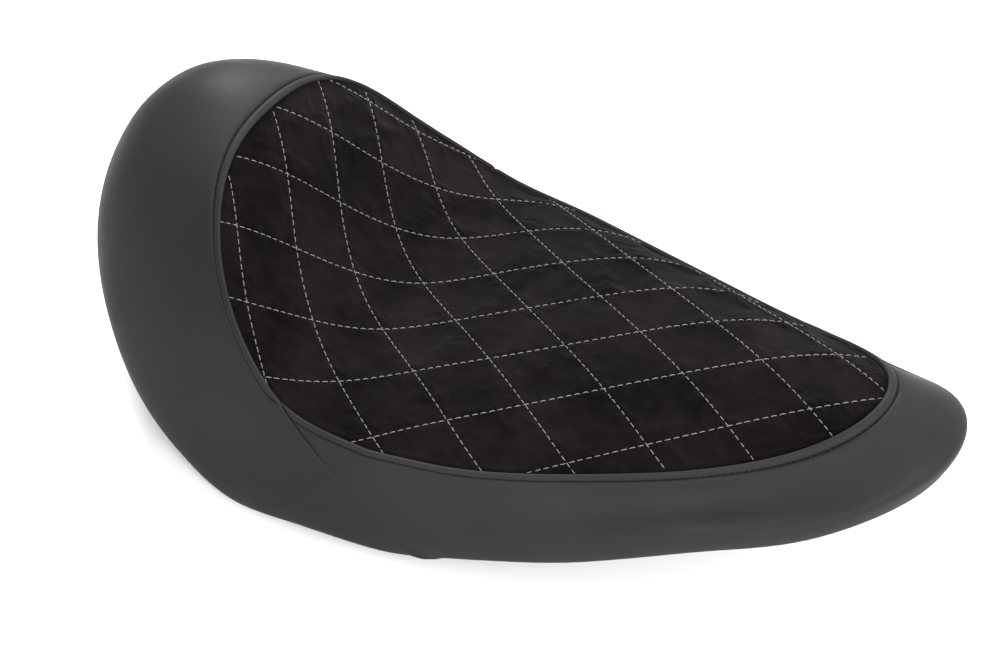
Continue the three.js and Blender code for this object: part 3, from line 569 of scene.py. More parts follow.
def moulded_material(name, color, roughness, grain=0.0009, depth=0.00008):
    material, tree, shader = new_material(name, color, roughness, 0.5)
    texture = noise(tree, grain, 3, 0.6)
    broad = noise(tree, 0.05, 3, 0.5)
    colored(tree, shader, broad, 0.35, 0.65, color, times(1.35, color))
    worn = ranged(tree, broad, 0.3, 0.7, roughness - 0.06, roughness + 0.06)
    tree.links.new(worn, shader.inputs["Roughness"])
    bumped(tree, shader, texture, 0.5, depth)
    return material


def metal_material(name, color, roughness):
    material, tree, shader = new_material(name, color, roughness, metallic=1.0)
    lines = noise(tree, 0.0015, 4, 0.6)
    stain = noise(tree, 0.012, 4, 0.6)
    colored(tree, shader, stain, 0.4, 0.7, color, times(0.7, color))
    low, high = max(roughness - 0.1, 0.05), roughness + 0.12
    tree.links.new(ranged(tree, lines, 0.3, 0.7, low, high), shader.inputs["Roughness"])
    bumped(tree, shader, lines, 0.15, 0.00005)
    return material


SUEDE = suede_material()
VINYL = vinyl_material()
QUILT_THREAD = thread_material("quilting_thread", (0.11, 0.105, 0.102), 0.3)
BLACK_THREAD = thread_material("black_thread", (0.002, 0.002, 0.002), 0.05)
LINING_FOAM = foam_material("lining_foam", (0.07, 0.07, 0.075))
CUSHION_FOAM = foam_material("cushion_foam", (0.68, 0.6, 0.42))
PAN_PLASTIC = moulded_material("pan_plastic", (0.012, 0.0125, 0.0135), 0.5)
BLACK_STEEL = moulded_material("powder_coat", (0.014, 0.0145, 0.015), 0.38, 0.0006, 0.00005)
ZINC = metal_material("zinc_steel", (0.3, 0.305, 0.31), 0.32)
KNURLED = metal_material("knurled_steel", (0.34, 0.34, 0.34), 0.2)
RUBBER = moulded_material("rubber", (0.014, 0.014, 0.015), 0.8, 0.0012)
NYLON = moulded_material("nylon", (0.72, 0.7, 0.64), 0.45)
RIVET_BLACK = moulded_material("rivet_plastic", (0.012, 0.012, 0.0125), 0.35)

# ---------------------------------------------------------------- quilted insert

SIDE_LENGTH = math.hypot(DIAMOND_LENGTH, DIAMOND_WIDTH) / 2
PINCH = 1.1
TUCK = 1.5
TUCK_MARGIN = 1.6
PUFF_LIMIT = 2.0
SUEDE_THICKNESS = 1.1
# Squares of the grid along one side of a diamond, in the simulation and after it.
SIM_CELLS, FINE_CELLS = 20, 40
# How far inside the edge the suede starts to dip, is pinched less, and is held.
DIPS = (-3.2, -0.4)
PINCH_ENDS = (-2.5, -0.5)
HELD_FROM = -2.5
# The groove that a line of stitches presses, and the suede's unevenness between them.
QUILT_GROOVE_DEPTH, QUILT_GROOVE_WIDTH = 0.35, 0.8
SUEDE_UNEVEN, SUEDE_UNEVEN_SIZE = 0.12, 9
SIM_STEPS = 20

fine_angles, fine_run = edge_run(0, 2 * math.pi)
outline_angles = np.interp(np.linspace(0, fine_run[-1], 1501), fine_run, fine_angles)
outline_flat = np.stack(insert_edge(outline_angles[:-1]), -1)
outline_out = np.stack(edge_outward(outline_angles[:-1]), -1)


def flat_reach(s, t):
    """Distance out of the insert's edge on the flat cover, negative inside."""
    points = np.stack([s.ravel(), t.ravel()], -1)
    nearest, _ = nearest_of(points, outline_flat)
    return ((points - outline_flat[nearest]) * outline_out[nearest]).sum(-1).reshape(s.shape)


# Diagonal lattice: a and b grow by 2 from one stitched line to the next.
FIRST_LINE, LAST_LINE = -6, 18


def lattice_marks(count):
    """Places along a lattice axis, closer together beside each stitched line."""
    u = np.arange(count) / count
    eased = 0.5 * u + 0.25 * (1 - np.cos(math.pi * u))
    marks = np.arange(FIRST_LINE, LAST_LINE, 2)[:, None] + 2 * eased
    return np.append(marks.ravel(), LAST_LINE)


def from_lattice(a, b):
    return DIAMOND_LENGTH / 4 * (a + b), DIAMOND_WIDTH / 4 * (a - b)


def suede_base(s, t, reach):
    """Suede as sewn flat on its foam: it dips under the turned edge of the bands."""
    depth = TUCK * smooth(*DIPS, reach)
    return saddle(s, t) - depth[..., None] * saddle_normal(s, t)


def pinched(s, t, reach):
    """Bottom of the dents that the stitches make."""
    depth = PINCH * (1 - smooth(*PINCH_ENDS, reach))
    return suede_base(s, t, reach) - depth[..., None] * saddle_normal(s, t)


def line_gap(a, b):
    """Distance to the nearest stitched line, in millimetres on the flat cover."""
    off = np.minimum(np.abs((a + 1) % 2 - 1), np.abs((b + 1) % 2 - 1))
    across = DIAMOND_LENGTH * DIAMOND_WIDTH / 4 / SIDE_LENGTH
    return off / 2 * across


def quilted_grid(marks):
    a, b = np.meshgrid(marks, marks, indexing="ij")
    s, t = from_lattice(a, b)
    return a, b, s, t, flat_reach(s, t)


def kept_part(reach):
    """Points of the lattice grid that the cut suede needs, and its squares between them."""
    keep = reach < TUCK_MARGIN
    columns = keep.shape[1]
    i, j = np.nonzero(keep[:-1, :-1] & keep[1:, :-1] & keep[1:, 1:] & keep[:-1, 1:])
    first = i * columns + j
    faces = np.stack([first, first + columns, first + columns + 1, first + 1], -1)
    used = np.unique(faces)
    return used, np.searchsorted(used, faces).tolist()


def make_cloth(piece, held):
    """Cloth under pressure, held at the numbered points."""
    group = piece.vertex_groups.new(name="held")
    group.add(held, 1.0, "REPLACE")
    modifier = piece.modifiers.new("Cloth", "CLOTH")
    settings = modifier.settings
    settings.quality = 6
    settings.mass = 0.15
    settings.tension_stiffness = 15
    settings.compression_stiffness = 15
    settings.shear_stiffness = 8
    settings.bending_stiffness = 0.6
    settings.shrink_min = -0.03
    settings.use_pressure = True
    settings.uniform_pressure_force = 4
    settings.vertex_group_mass = "held"
    settings.effector_weights.gravity = 0
    modifier.collision_settings.use_self_collision = False
    modifier.collision_settings.use_collision = False


def simulated_puffs(marks):
    """How far a grid of cloth moves that is held along its stitches and pushed up by foam."""
    a, b, s, t, reach = quilted_grid(marks)
    used, faces = kept_part(reach)
    start = suede_base(s, t, reach).reshape(-1, 3)[used]
    mesh = bpy.data.meshes.new("quilt_sim")
    mesh.from_pydata((start * MM).tolist(), [], faces)
    piece = bpy.data.objects.new("quilt_sim", mesh)
    scene = bpy.context.scene
    scene.collection.objects.link(piece)
    held = (line_gap(a, b) < 0.05) | (reach > HELD_FROM)
    make_cloth(piece, np.nonzero(held.ravel()[used])[0].tolist())
    for step in range(1, SIM_STEPS + 1):
        scene.frame_set(step)
    result = piece.evaluated_get(bpy.context.evaluated_depsgraph_get()).to_mesh()
    moved = np.empty(len(used) * 3)
    result.vertices.foreach_get("co", moved)
    moved = moved.reshape(-1, 3) / MM - start
    scene.frame_set(1)
    bpy.data.objects.remove(piece)
    length = np.linalg.norm(moved, axis=-1, keepdims=True)
    moved *= PUFF_LIMIT * np.tanh(length / PUFF_LIMIT) / np.maximum(length, 1e-9)
    shift = np.zeros((reach.size, 3))
    shift[used] = moved
    return shift.reshape(*reach.shape, 3)


def finer(values, marks, fine_marks):
    """Values on the lattice grid, read off on a finer one."""
    for axis in (0, 1):
        low = np.clip(np.searchsorted(marks, fine_marks, side="right") - 1, 0, len(marks) - 2)
        share = (fine_marks - marks[low]) / (marks[low + 1] - marks[low])
        shape = [1] * values.ndim
        shape[axis] = len(fine_marks)
        share = share.reshape(shape)
        values = np.take(values, low, axis) * (1 - share) + np.take(values, low + 1, axis) * share
    return values


def quilted_insert():
    fine_marks = lattice_marks(FINE_CELLS)
    a, b, s, t, reach = quilted_grid(fine_marks)
    normals = saddle_normal(s, t)
    marks = lattice_marks(SIM_CELLS)
    shift = finer(simulated_puffs(marks), marks, fine_marks)
    points = pinched(s, t, reach) + shift
    gap = line_gap(a, b)
    groove = QUILT_GROOVE_DEPTH * hump(gap / QUILT_GROOVE_WIDTH) * (reach < -1.5)
    points -= groove[..., None] * normals
    uneven = SUEDE_UNEVEN * wobble(points, SUEDE_UNEVEN_SIZE, 5) * smooth(0, 6, gap)
    points += uneven[..., None] * normals
    used, faces = kept_part(reach)
    piece = new_object("quilted_suede", points.reshape(-1, 3)[used], faces, SUEDE)
    if piece.data.polygons[0].normal.z < 0:
        piece.data.flip_normals()
    thicken(piece, SUEDE_THICKNESS)
    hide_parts("quilted_insert")
    return piece


def apply_modifiers(piece):
    """The piece's mesh as its modifiers leave it, with none left on it."""
    view = bpy.context.evaluated_depsgraph_get()
    view.update()
    mesh = bpy.data.meshes.new_from_object(piece.evaluated_get(view))
    piece.modifiers.clear()
    piece.data = mesh


def thicken(piece, thickness):
    modifier = piece.modifiers.new("Thickness", "SOLIDIFY")
    modifier.thickness = thickness * MM
    modifier.offset = -1
    apply_modifiers(piece)


# ---------------------------------------------------------------- threads

THREAD_SIDES = 8
THREAD_STATIONS = 7
# Each kind of thread: radius, how high it arches, and how deep its ends go.
QUILTING_THREAD = (0.25, 0.12, 0.48)
EDGE_THREAD = (0.3, 0.2, 0.4)
SEAM_THREAD = (0.27, 0.2, 0.4)
EDGE_THREAD_LIFT = 0.2
# Share of its pitch that a quilting stitch shows, half the share that the others show, and
# how far past the insert's edge the quilting runs, under the turned edge of the bands.
QUILTING_SHOWN = 0.68
HALF_SHOWN = 0.36
STITCH_REACH = 0.4


def stitch_mesh(starts, ends, normals, radius, arch, sink):
    """Points and faces of many stitches: each arches up between two needle holes."""
    u = np.linspace(0, 1, THREAD_STATIONS)
    middle = starts[:, None] + (ends - starts)[:, None] * u[None, :, None]
    rise = (arch + sink) * np.sin(math.pi * u) ** 0.6 - sink
    middle = middle + normals[:, None] * rise[None, :, None]
    along = unit(np.gradient(middle, axis=1))
    side = unit(np.cross(along, normals[:, None]))
    up = np.cross(side, along)
    around = np.arange(THREAD_SIDES) * 2 * math.pi / THREAD_SIDES
    thin = radius * (0.72 + 0.28 * np.sin(math.pi * u) ** 0.5)
    ring = np.cos(around)[:, None] * side[:, :, None] + np.sin(around)[:, None] * up[:, :, None]
    points = middle[:, :, None] + thin[None, :, None, None] * ring
    per = THREAD_STATIONS * THREAD_SIDES
    one = tube_faces(THREAD_STATIONS, THREAD_SIDES)
    faces = [[n * per + i for i in face] for n in range(len(starts)) for face in one]
    return points.reshape(-1, 3), faces


def quilting_stitches():
    """Stitches along every line of the lattice, inside the insert's edge."""
    rng = np.random.RandomState(11)
    firsts, lasts = [], []
    pitch = 2 / STITCHES_PER_SIDE
    shown = QUILTING_SHOWN * pitch
    for direction in (0, 1):
        for fixed in range(FIRST_LINE, LAST_LINE + 1, 2):
            first = np.arange(FIRST_LINE, LAST_LINE, pitch) + rng.uniform(0, pitch)
            first += rng.normal(0, 0.02 * pitch, len(first))
            last = first + shown * rng.uniform(0.94, 1.04, len(first))
            for along, store in ((first, firsts), (last, lasts)):
                axes = (along, np.full_like(along, fixed))
                store.append(from_lattice(*(axes[::-1] if direction else axes)))
    (s0, t0), (s1, t1) = (np.concatenate(store, -1) for store in (firsts, lasts))
    reaches = flat_reach(s0, t0), flat_reach(s1, t1)
    inside = np.maximum(*reaches) < STITCH_REACH
    normals = saddle_normal(s0, t0)[inside]
    starts = pinched(s0, t0, reaches[0])[inside]
    ends = pinched(s1, t1, reaches[1])[inside]
    points, faces = stitch_mesh(starts, ends, normals, *QUILTING_THREAD)
    piece = new_object("quilting_stitches", points, faces, QUILT_THREAD)


# ---------------------------------------------------------------- vinyl bands

# Cross-section of the turned and topstitched edge: distance out from the insert's edge
# and height above the cover. Negative distances lie over the suede.
TURNED_EDGE = [
    (-0.75, -0.4), (-0.8, 0.05), (-0.66, 0.45), (-0.35, 0.78), (0.1, 1.0), (0.8, 1.15),
    (1.7, 1.22), (2.6, 1.14), (3.2, 0.92), (3.65, 0.45), (3.95, -0.15), (4.2, -0.6),
    (4.45, -0.66), (4.7, -0.35), (5.05, 0.08), (5.6, 0.4), (6.6, 0.5), (8.5, 0.42),
    (11, 0.26), (14.5, 0.1), (19, 0.02), (24, 0),
]
# Rows of the edge that lie over the suede, and columns of a band past its seam.
LIP = 4
# How far the rows over the suede stand square to it, and how thick they are.
LEVEL_SHARES = (0.75, 0.65, 0.55, 0.4)
LIP_THICKNESS = (0.35, 0.8, 1.3, 1.8)
GROOVE_PLACE = 4.35
VINYL_THICKNESS = 1.2
FOLD_THICKNESS = 2.1
STITCH_PITCH = 3.6
COLUMNS_PER_STITCH = 4
BAND_ROWS = 26
ROLL_ROWS = 9
FLANGE_ROWS = 7
edge_reach, edge_height = np.array(TURNED_EDGE).T
outside_edge = edge_reach >= 0
near_reach = edge_reach[outside_edge]

# Down the seam: how narrow the rear band's strip is there, and how far down the seam the
# strip fades into a plain seam.
SEAM_STRIP = 0.36
STRIP_NARROWS = 17
SEAM_RISE = 0.7
SEAM_STITCH_PLACE, SEAM_STITCH_DEPTH = -0.85, 0.35
SEAM_STITCH_FROM, SEAM_STITCH_TO = 8, 44
STRIP_FADES = (22, 62)
# Relief of the bands: how deep or high, and how wide or long.
TUCKED_DEPTH, TUCKED_WIDTH = 0.65, 1.7
PLAIN_SEAM_DEPTH, PLAIN_SEAM_WIDTH = 0.3, 0.7
VALLEY_DEPTH, VALLEY_WIDTH = 0.9, 12
HEM_BUMP_HEIGHT, HEM_BUMP_WIDTH = 1.5, 2.4
VINYL_UNEVEN, VINYL_UNEVEN_SIZE = 0.3, 45
PLEAT_DEPTH, PLEAT_PITCH = 0.35, 9
NEEDLE_DEPTH, NEEDLE_WIDTH, NEEDLE_LENGTH = 0.35, 0.4, 0.5
SEAM_ROWS = np.array([0.2, 0.4, 0.6, 1.15, 1.45, 2.1, 2.4, 3.1])

seam_v = np.linspace(1, 2.8, 601)


def seam_curve(side):
    """Points of the seam on the nominal cover, and their distance along it."""
    points = band_point(side * seam_angle_at(seam_v - 1) * DEG, seam_v)
    return points, run_along(points)


def seam_reach(points, side):
    """Distance to the seam on a side, and how far down that seam."""
    seam, along = seam_curve(side)
    nearest, gap = nearest_of(points.reshape(-1, 3), seam)
    return gap.reshape(points.shape[:-1]), along[nearest].reshape(points.shape[:-1])


def cover_normal(angle, v):
    """Outward normal of the nominal cover outside the insert."""
    around = band_point(angle + TURN, v) - band_point(angle - TURN, v)
    down = band_point(angle, np.minimum(v + TURN, 4)) - band_point(angle, np.maximum(v - TURN, 1))
    return unit(np.cross(down, around))


def band_rows(at_edge, share):
    """Places v of a band's rows below the insert's edge, at each angle along that edge. The
    share is how wide the topstitched strip is there."""
    fine_v = np.linspace(1, 2, 81)
    band, roll, flange = (np.arange(1, n + 1) / n for n in (BAND_ROWS, ROLL_ROWS, FLANGE_ROWS))
    rows = []
    for angle, wide in zip(at_edge, share):
        run = run_along(band_point(angle + 0 * fine_v, fine_v))
        places = near_reach * wide
        far = places[-1] + (run[-1] - places[-1]) * band
        down = np.interp(np.concatenate([places, far]), run, fine_v)
        rows.append(np.concatenate([down, 2 + roll, 3 + flange]))
    return np.array(rows)


def nominal_band(at_edge, angle_of, v):
    """Nominal points and normals of a band, with the rows that lie over the suede first."""
    angle = angle_of(at_edge[:, None], v)
    outside = band_point(angle, v)
    normals = cover_normal(angle, v)
    s, t = insert_edge(at_edge)
    out_s, out_t = edge_outward(at_edge)
    over = edge_reach[~outside_edge]
    inside = saddle(s[:, None] + over * out_s[:, None], t[:, None] + over * out_t[:, None])
    level = saddle_normal(s, t)
    edge = unit(level + normals[:, 0])
    weight = np.array(LEVEL_SHARES)[:, None]
    over_normals = unit(weight * level[:, None] + (1 - weight) * edge[:, None])
    near = slice(0, len(near_reach))
    settle = smooth(0, 8, near_reach)[:, None]
    normals[:, near] = unit((1 - settle) * edge[:, None] + settle * normals[:, near])
    return np.concatenate([inside, outside], 1), np.concatenate([over_normals, normals], 1)


def turned_height(reach):
    """Height of the turned edge over a distance from it that isn't negative."""
    return np.interp(reach, near_reach, edge_height[outside_edge])


# Columns past the seam: how far, and how far down from the seam's edge. The first row is
# a folded edge and the second a plain seam.
REAR_LIP = [(0.2, 0.08), (0.42, 0.28), (0.52, 0.65), (0.5, 1.3)]
PLAIN_LIP = [(0.12, 0.1), (0.25, 0.3), (0.32, 0.6), (0.32, 1.0)]
FRONT_TONGUE = [(0.8, 0.25), (1.6, 0.45), (2.6, 0.6), (3.4, 0.7)]
PLAIN_TONGUE = [(0.3, 0.2), (0.6, 0.35), (0.9, 0.45), (1.1, 0.55)]


def past_seam(points, heights, normals, strong, lips):
    """Adds columns at both ends of a band, square to the seam."""
    folded, plain = (np.array(lip) for lip in lips)
    added = []
    for end, inner in ((0, 8), (-1, -9)):
        last = points[end]
        down = unit(np.gradient(last, axis=0))
        away = unit(np.cross(down, normals[end]))
        away = away * np.sign(dot(away, last - points[inner]))
        share = strong[end][None, :, None]
        lip = folded[:, None] * share + plain[:, None] * (1 - share)
        more = last[None] + lip[..., :1] * away[None]
        facing = np.repeat(normals[end][None], len(lip), 0)
        added.append((more, heights[end][None] - lip[..., 1], facing))
    before, after = added
    return [
        np.concatenate([first[::-1], middle, last])
        for first, middle, last in zip(before, (points, heights, normals), after)
    ]


def plain_seam(gap):
    """How deep the valley of the plain seam is at a distance from it."""
    return PLAIN_SEAM_DEPTH * np.exp(-gap / PLAIN_SEAM_WIDTH)


def rear_relief(height, reach, gap, run, strong):
    """Turned edge that carries on down the seam, narrow and fading, to a plain seam."""
    down_seam = SEAM_RISE * turned_height(gap / SEAM_STRIP)
    down_seam = down_seam * strong - plain_seam(gap) * (1 - strong)
    blend = smooth(2, 12, run)
    down_seam = down_seam * blend + turned_height(gap / SEAM_STRIP) * (1 - blend)
    return np.where(gap / SEAM_STRIP < reach, down_seam, height)


def front_relief(height, gap, strong):
    """Edge that tucks under the rear band's, or meets it in a plain seam."""
    tucked = TUCKED_DEPTH * hump(gap / TUCKED_WIDTH)
    sink = tucked * strong + plain_seam(gap) * (1 - strong)
    return height * smooth(0.3, 2.6, gap) - sink


def edge_and_seam(base, at_edge, is_rear):
    """Height of the turned edge and of the seam, and how strong the folded seam is."""
    reach = np.full(base.shape[:2], 1e3)
    reach[:, : len(edge_reach)] = edge_reach
    height = np.zeros(base.shape[:2])
    height[:, : len(edge_reach)] = edge_height
    half = len(base) // 2
    side = math.copysign(1, math.sin(at_edge[half // 2]))
    parts = (seam_reach(base[:half], side), seam_reach(base[half:], -side))
    gap, run = (np.concatenate(part) for part in zip(*parts))
    strong = 1 - smooth(*STRIP_FADES, run)
    if is_rear:
        return rear_relief(height, reach, gap, run, strong), gap, run, strong
    return front_relief(height, gap, strong), gap, run, strong


def stretch_and_pleats(base, v, places, gap, run):
    """Gentle unevenness of the stretched vinyl, and pleats where it turns under."""
    on_side = smooth(1.25, 1.6, v) * (1 - smooth(2.3, 3, v))
    valley = VALLEY_DEPTH * hump(gap / VALLEY_WIDTH) * smooth(45, 90, run) * on_side
    at_hem = smooth(1.9, 2.1, v) * (1 - smooth(2.4, 2.9, v))
    bump = HEM_BUMP_HEIGHT * hump(gap / HEM_BUMP_WIDTH) * at_hem
    below_edge = smooth(1.02, 1.3, v) * (1 - smooth(2, 2.6, v))
    uneven = VINYL_UNEVEN * wobble(base, VINYL_UNEVEN_SIZE, 3) * below_edge
    pleats = np.sin(places * 2 * math.pi / PLEAT_PITCH + 2 * np.sin(places / 16))
    return bump - valley + uneven + PLEAT_DEPTH * pleats[:, None] * smooth(2.7, 3.6, v)


def needle_holes(places):
    """Depth of the needle holes in the groove of the turned edge."""
    across = hump((edge_reach - GROOVE_PLACE) / NEEDLE_WIDTH)
    to_hole = np.abs((places / STITCH_PITCH + 0.5) % 1 - 0.5) * STITCH_PITCH
    return NEEDLE_DEPTH * across * hump(to_hole / NEEDLE_LENGTH)[:, None]


def band_thickness(rows, columns):
    """Thickness of a band: folded double at its edge and thin past its seams."""
    thickness = np.full(columns, VINYL_THICKNESS)
    folded = 1 - smooth(4, 9, edge_reach)
    thickness[: len(edge_reach)] += (FOLD_THICKNESS - VINYL_THICKNESS) * folded
    thickness[:LIP] = LIP_THICKNESS
    row = np.arange(rows)
    past = np.minimum(row, row[::-1])
    return np.minimum(thickness, (0.4 + 1.8 * smooth(LIP - 1, LIP + 12, past))[:, None])


def band_piece(name, places, at_edge, angle_of, is_rear):
    from_end = np.minimum(places, places[-1] - places)
    share = np.ones(len(places))
    if is_rear:
        share = SEAM_STRIP + (1 - SEAM_STRIP) * smooth(0, STRIP_NARROWS, from_end)
    v = band_rows(at_edge, share)
    base, normals = nominal_band(at_edge, angle_of, v)
    v = np.concatenate([np.ones((len(v), LIP)), v], 1)
    height, gap, run, strong = edge_and_seam(base, at_edge, is_rear)
    height += stretch_and_pleats(base, v, places, gap, run)
    height[:, : len(edge_reach)] -= needle_holes(places)
    lips = (REAR_LIP, PLAIN_LIP) if is_rear else (FRONT_TONGUE, PLAIN_TONGUE)
    full, heights, facing = past_seam(base, height, normals, strong, lips)
    outer = full + heights[..., None] * facing
    inner = outer - band_thickness(*outer.shape[:2])[..., None] * facing
    piece = solid_piece(name, *thick_sheet(outer, inner), VINYL)
    return outer[LIP:-LIP], normals, piece


def read_at(place, places, values):
    """Points read off a line of them, given at places along it."""
    return np.stack([np.interp(place, places, values[:, k]) for k in range(3)], -1)


def stitch_ends(middle, places, line, up):
    """Where stitches along a line start and end, and how they face."""
    shown = HALF_SHOWN * STITCH_PITCH
    starts, stops = (read_at(middle + end, places, line) for end in (-shown, shown))
    return starts, stops, unit(read_at(middle, places, up))


def topstitching(name, places, line, up, length):
    """Stitches along a grooved line of a band, given at places along it."""
    ends = np.arange(0, length + 0.1, STITCH_PITCH)
    starts, stops, facing = stitch_ends((ends[:-1] + ends[1:]) / 2, places, line, up)
    lift = EDGE_THREAD_LIFT * facing
    points, faces = stitch_mesh(starts + lift, stops + lift, facing, *EDGE_THREAD)
    thread = new_object(name, points, faces, BLACK_THREAD)


def seam_stitches():
    """Stitches in the groove beside the upper part of the seam, on both sides."""
    middle = np.arange(SEAM_STITCH_FROM, SEAM_STITCH_TO, STITCH_PITCH)
    sides = []
    for side in (1, -1):
        points, along = seam_curve(side)
        facing = cover_normal(side * seam_angle_at(seam_v - 1) * DEG, seam_v)
        behind = unit(np.cross(np.gradient(points, axis=0), facing)) * side
        line = points + SEAM_STITCH_PLACE * behind - SEAM_STITCH_DEPTH * facing
        sides.append(stitch_ends(middle, along, line, facing))
    starts, stops, facing = (np.concatenate(part) for part in zip(*sides))
    points, faces = stitch_mesh(starts, stops, facing, *SEAM_THREAD)
    new_object("seam_stitches", points, faces, BLACK_THREAD)


def side_band(name, start, stop, angle_of, is_rear):
    fine, run = edge_run(start, stop)
    stitches = int(round(run[-1] / STITCH_PITCH))
    length = stitches * STITCH_PITCH
    places = np.linspace(0, length, stitches * COLUMNS_PER_STITCH + 1)
    places = np.union1d(places, np.concatenate([SEAM_ROWS, length - SEAM_ROWS]))
    at_edge = np.interp(places * run[-1] / length, run, fine)
    outer, normals, piece = band_piece(name, places, at_edge, angle_of, is_rear)
    groove = int(np.abs(edge_reach - GROOVE_PLACE).argmin())
    topstitching(name + "_topstitching", places, outer[:, groove], normals[:, groove], length)
    return piece


# ---------------------------------------------------------------- foams

FOAM_LINES = 200
FOAM_V = np.concatenate([np.linspace(0, 0.96, 25), [0.985, 0.997]])
SIDE_V = np.array([1.03, 1.06, 1.1, 1.16, 1.24, 1.32, 1.42, 1.52, 1.63, 1.74, 1.84, 1.91])
QUILT_FOAM_DEPTHS = (3.9, 7.0)
SEAT_FOAM_DEPTH = 7.5
FOAM_BEHIND_COVER = 4.0
FOAM_ABOVE_PAN = 0.8


def below_insert(angle, v, depth):
    """Rings of points under the insert: v is 0 at its middle and 1 at its edge."""
    s, t = insert_edge(angle)
    s, t = WIDEST_S + (s - WIDEST_S) * v, t * v
    return saddle(s, t) - depth * saddle_normal(s, t)


def angles_round(count):
    return (np.arange(count) * 2 * math.pi / count)[:, None]


def ring_solid(name, sections, material, body="seat"):
    """Solid whose sections run from one shared point to another round the seat."""
    rows, columns = sections.shape[:2]
    sections[:, 0] = sections[:, 0].mean(0)
    sections[:, -1] = sections[:, -1].mean(0)
    points = sections.reshape(-1, 3)
    return solid_piece(name, points, grid_faces(rows, columns, True), material, body)


def quilt_foam():
    angle = angles_round(FOAM_LINES)
    top = below_insert(angle, FOAM_V, QUILT_FOAM_DEPTHS[0])
    low = below_insert(angle, FOAM_V[::-1], QUILT_FOAM_DEPTHS[1])
    piece = ring_solid("quilt_foam_layer", np.concatenate([top, low], 1), LINING_FOAM)
    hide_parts("quilt_foam")


def seat_foam():
    angle = angles_round(FOAM_LINES)
    top = below_insert(angle, FOAM_V, SEAT_FOAM_DEPTH)
    side = band_point(angle + 0 * SIDE_V, SIDE_V + 0 * angle)
    side = side - FOAM_BEHIND_COVER * grid_normals(side)
    inward = pan_reach(angle) * (1 - np.linspace(0.985, 0, 16))
    floor = pan_under(angle + 0 * inward, inward)
    floor[..., 2] += PAN + FOAM_ABOVE_PAN
    piece = ring_solid("moulded_foam", np.concatenate([top, side, floor], 1), CUSHION_FOAM)
    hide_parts("seat_foam")


quilted_insert()
quilting_stitches()
bolster_cover = side_band("rear_bolster_cover", SEAM_TOP, 2 * math.pi - SEAM_TOP, rear_angle, True)
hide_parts("rear_band")
front_cover = side_band("front_side_cover", -SEAM_TOP, SEAM_TOP, front_angle, False)
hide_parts("front_band")
seam_stitches()
quilt_foam()
seat_foam()

# ---------------------------------------------------------------- pan

RIB_Y = 36
RIB_ENDS = (-165, 185)
CROSS_RIB_X = (-55, 60)
# Pads under the strap and over the tongue: ends, half width, and lowest and highest points.
STRAP_PAD = (-140, -88, 20, 38, 55)
TONGUE_PAD = (110, 144, 26, 72, 88)
BOSS_RADIUS = 12
BOSS_DRAFT = 0.9
BOSS_GAP = 0.3
BUMPERS = 6
PAN_LINES = 180
NEAR_PAN_EDGE = (0, 1, 3, 6, 10, 15, 20, 24)

pan_rim = pan_edge(np.linspace(-math.pi, math.pi, 721)) - PAN_MIDDLE
pan_bearing = np.arctan2(pan_rim[:, 1], pan_rim[:, 0])
pan_radius = np.hypot(pan_rim[:, 0], pan_rim[:, 1])


def pan_height(x, y):
    """Height of the pan's underside over a place."""
    bearing = np.arctan2(y, x - PAN_MIDDLE[0])
    reach = np.interp(bearing, pan_bearing, pan_radius, period=2 * math.pi)
    out = np.hypot(x - PAN_MIDDLE[0], y) / reach
    return hem_height_at(x) + PAN_EDGE_LIFT + PAN_RISE * (1 - np.clip(out, 0, 1) ** 4)


def loft(name, sections, material):
    """Solid through closed sections, with flat ends."""
    return solid_piece(name, sections.reshape(-1, 3), tube_faces(*sections.shape[:2]), material)


def cut(piece, tool, operation):
    """Joins a tool to a piece or cuts it away, and removes the tool."""
    modifier = piece.modifiers.new("Cut", "BOOLEAN")
    modifier.operation = operation
    modifier.solver = "EXACT"
    modifier.object = tool
    apply_modifiers(piece)
    bpy.data.objects.remove(tool)


def sharpened(piece, degrees=32):
    """Smooth shading, with edges kept sharp where the faces turn more than an angle."""
    piece.data.polygons.foreach_set("use_smooth", [True] * len(piece.data.polygons))
    piece.data.set_sharp_from_angle(angle=degrees * DEG)
    return piece


def block(x0, x1, y0, y1, z0, z1):
    """Box with bevelled upright and lower edges, as a tool."""
    xs, ys, zs = (x0, x1), (y0, y1), (z0, z1)
    points = [(x, y, z) for x in xs for y in ys for z in zs]
    faces = [(0, 1, 3, 2), (4, 6, 7, 5), (0, 4, 5, 1), (2, 3, 7, 6), (0, 2, 6, 4), (1, 5, 7, 3)]
    piece = solid_piece("tool", points, faces, PAN_PLASTIC)
    bevel = piece.modifiers.new("Bevel", "BEVEL")
    bevel.width = 0.8 * MM
    bevel.segments = 3
    apply_modifiers(piece)
    return piece


# Section of a rib: distance aside and height over the pan's underside.
RIB_STEPS = 60
RIB_SECTION = [
    (-2.8, 1.0), (-1.9, -0.5), (-1.55, -6.1), (-1.3, -6.7), (-0.8, -7),
    (0.8, -7), (1.3, -6.7), (1.55, -6.1), (1.9, -0.5), (2.8, 1.0),
]


def rib(start, end):
    """Moulded rib under the pan, from one place to another."""
    start, end = np.array(start, float), np.array(end, float)
    along = (end - start) / np.linalg.norm(end - start)
    across = np.array([-along[1], along[0]])
    u = np.linspace(0, 1, RIB_STEPS)
    middle = start + (end - start) * u[:, None]
    height = pan_height(middle[:, 0], middle[:, 1])
    taper = np.minimum(1, np.minimum(u, 1 - u) * RIB_STEPS / 3)
    sections = np.empty((RIB_STEPS, len(RIB_SECTION), 3))
    for k, (aside, drop) in enumerate(RIB_SECTION):
        sections[:, k, :2] = middle + aside * across
        sections[:, k, 2] = height + np.where(drop < 0, drop * (0.35 + 0.65 * taper), drop)
    return loft("tool", sections, PAN_PLASTIC)


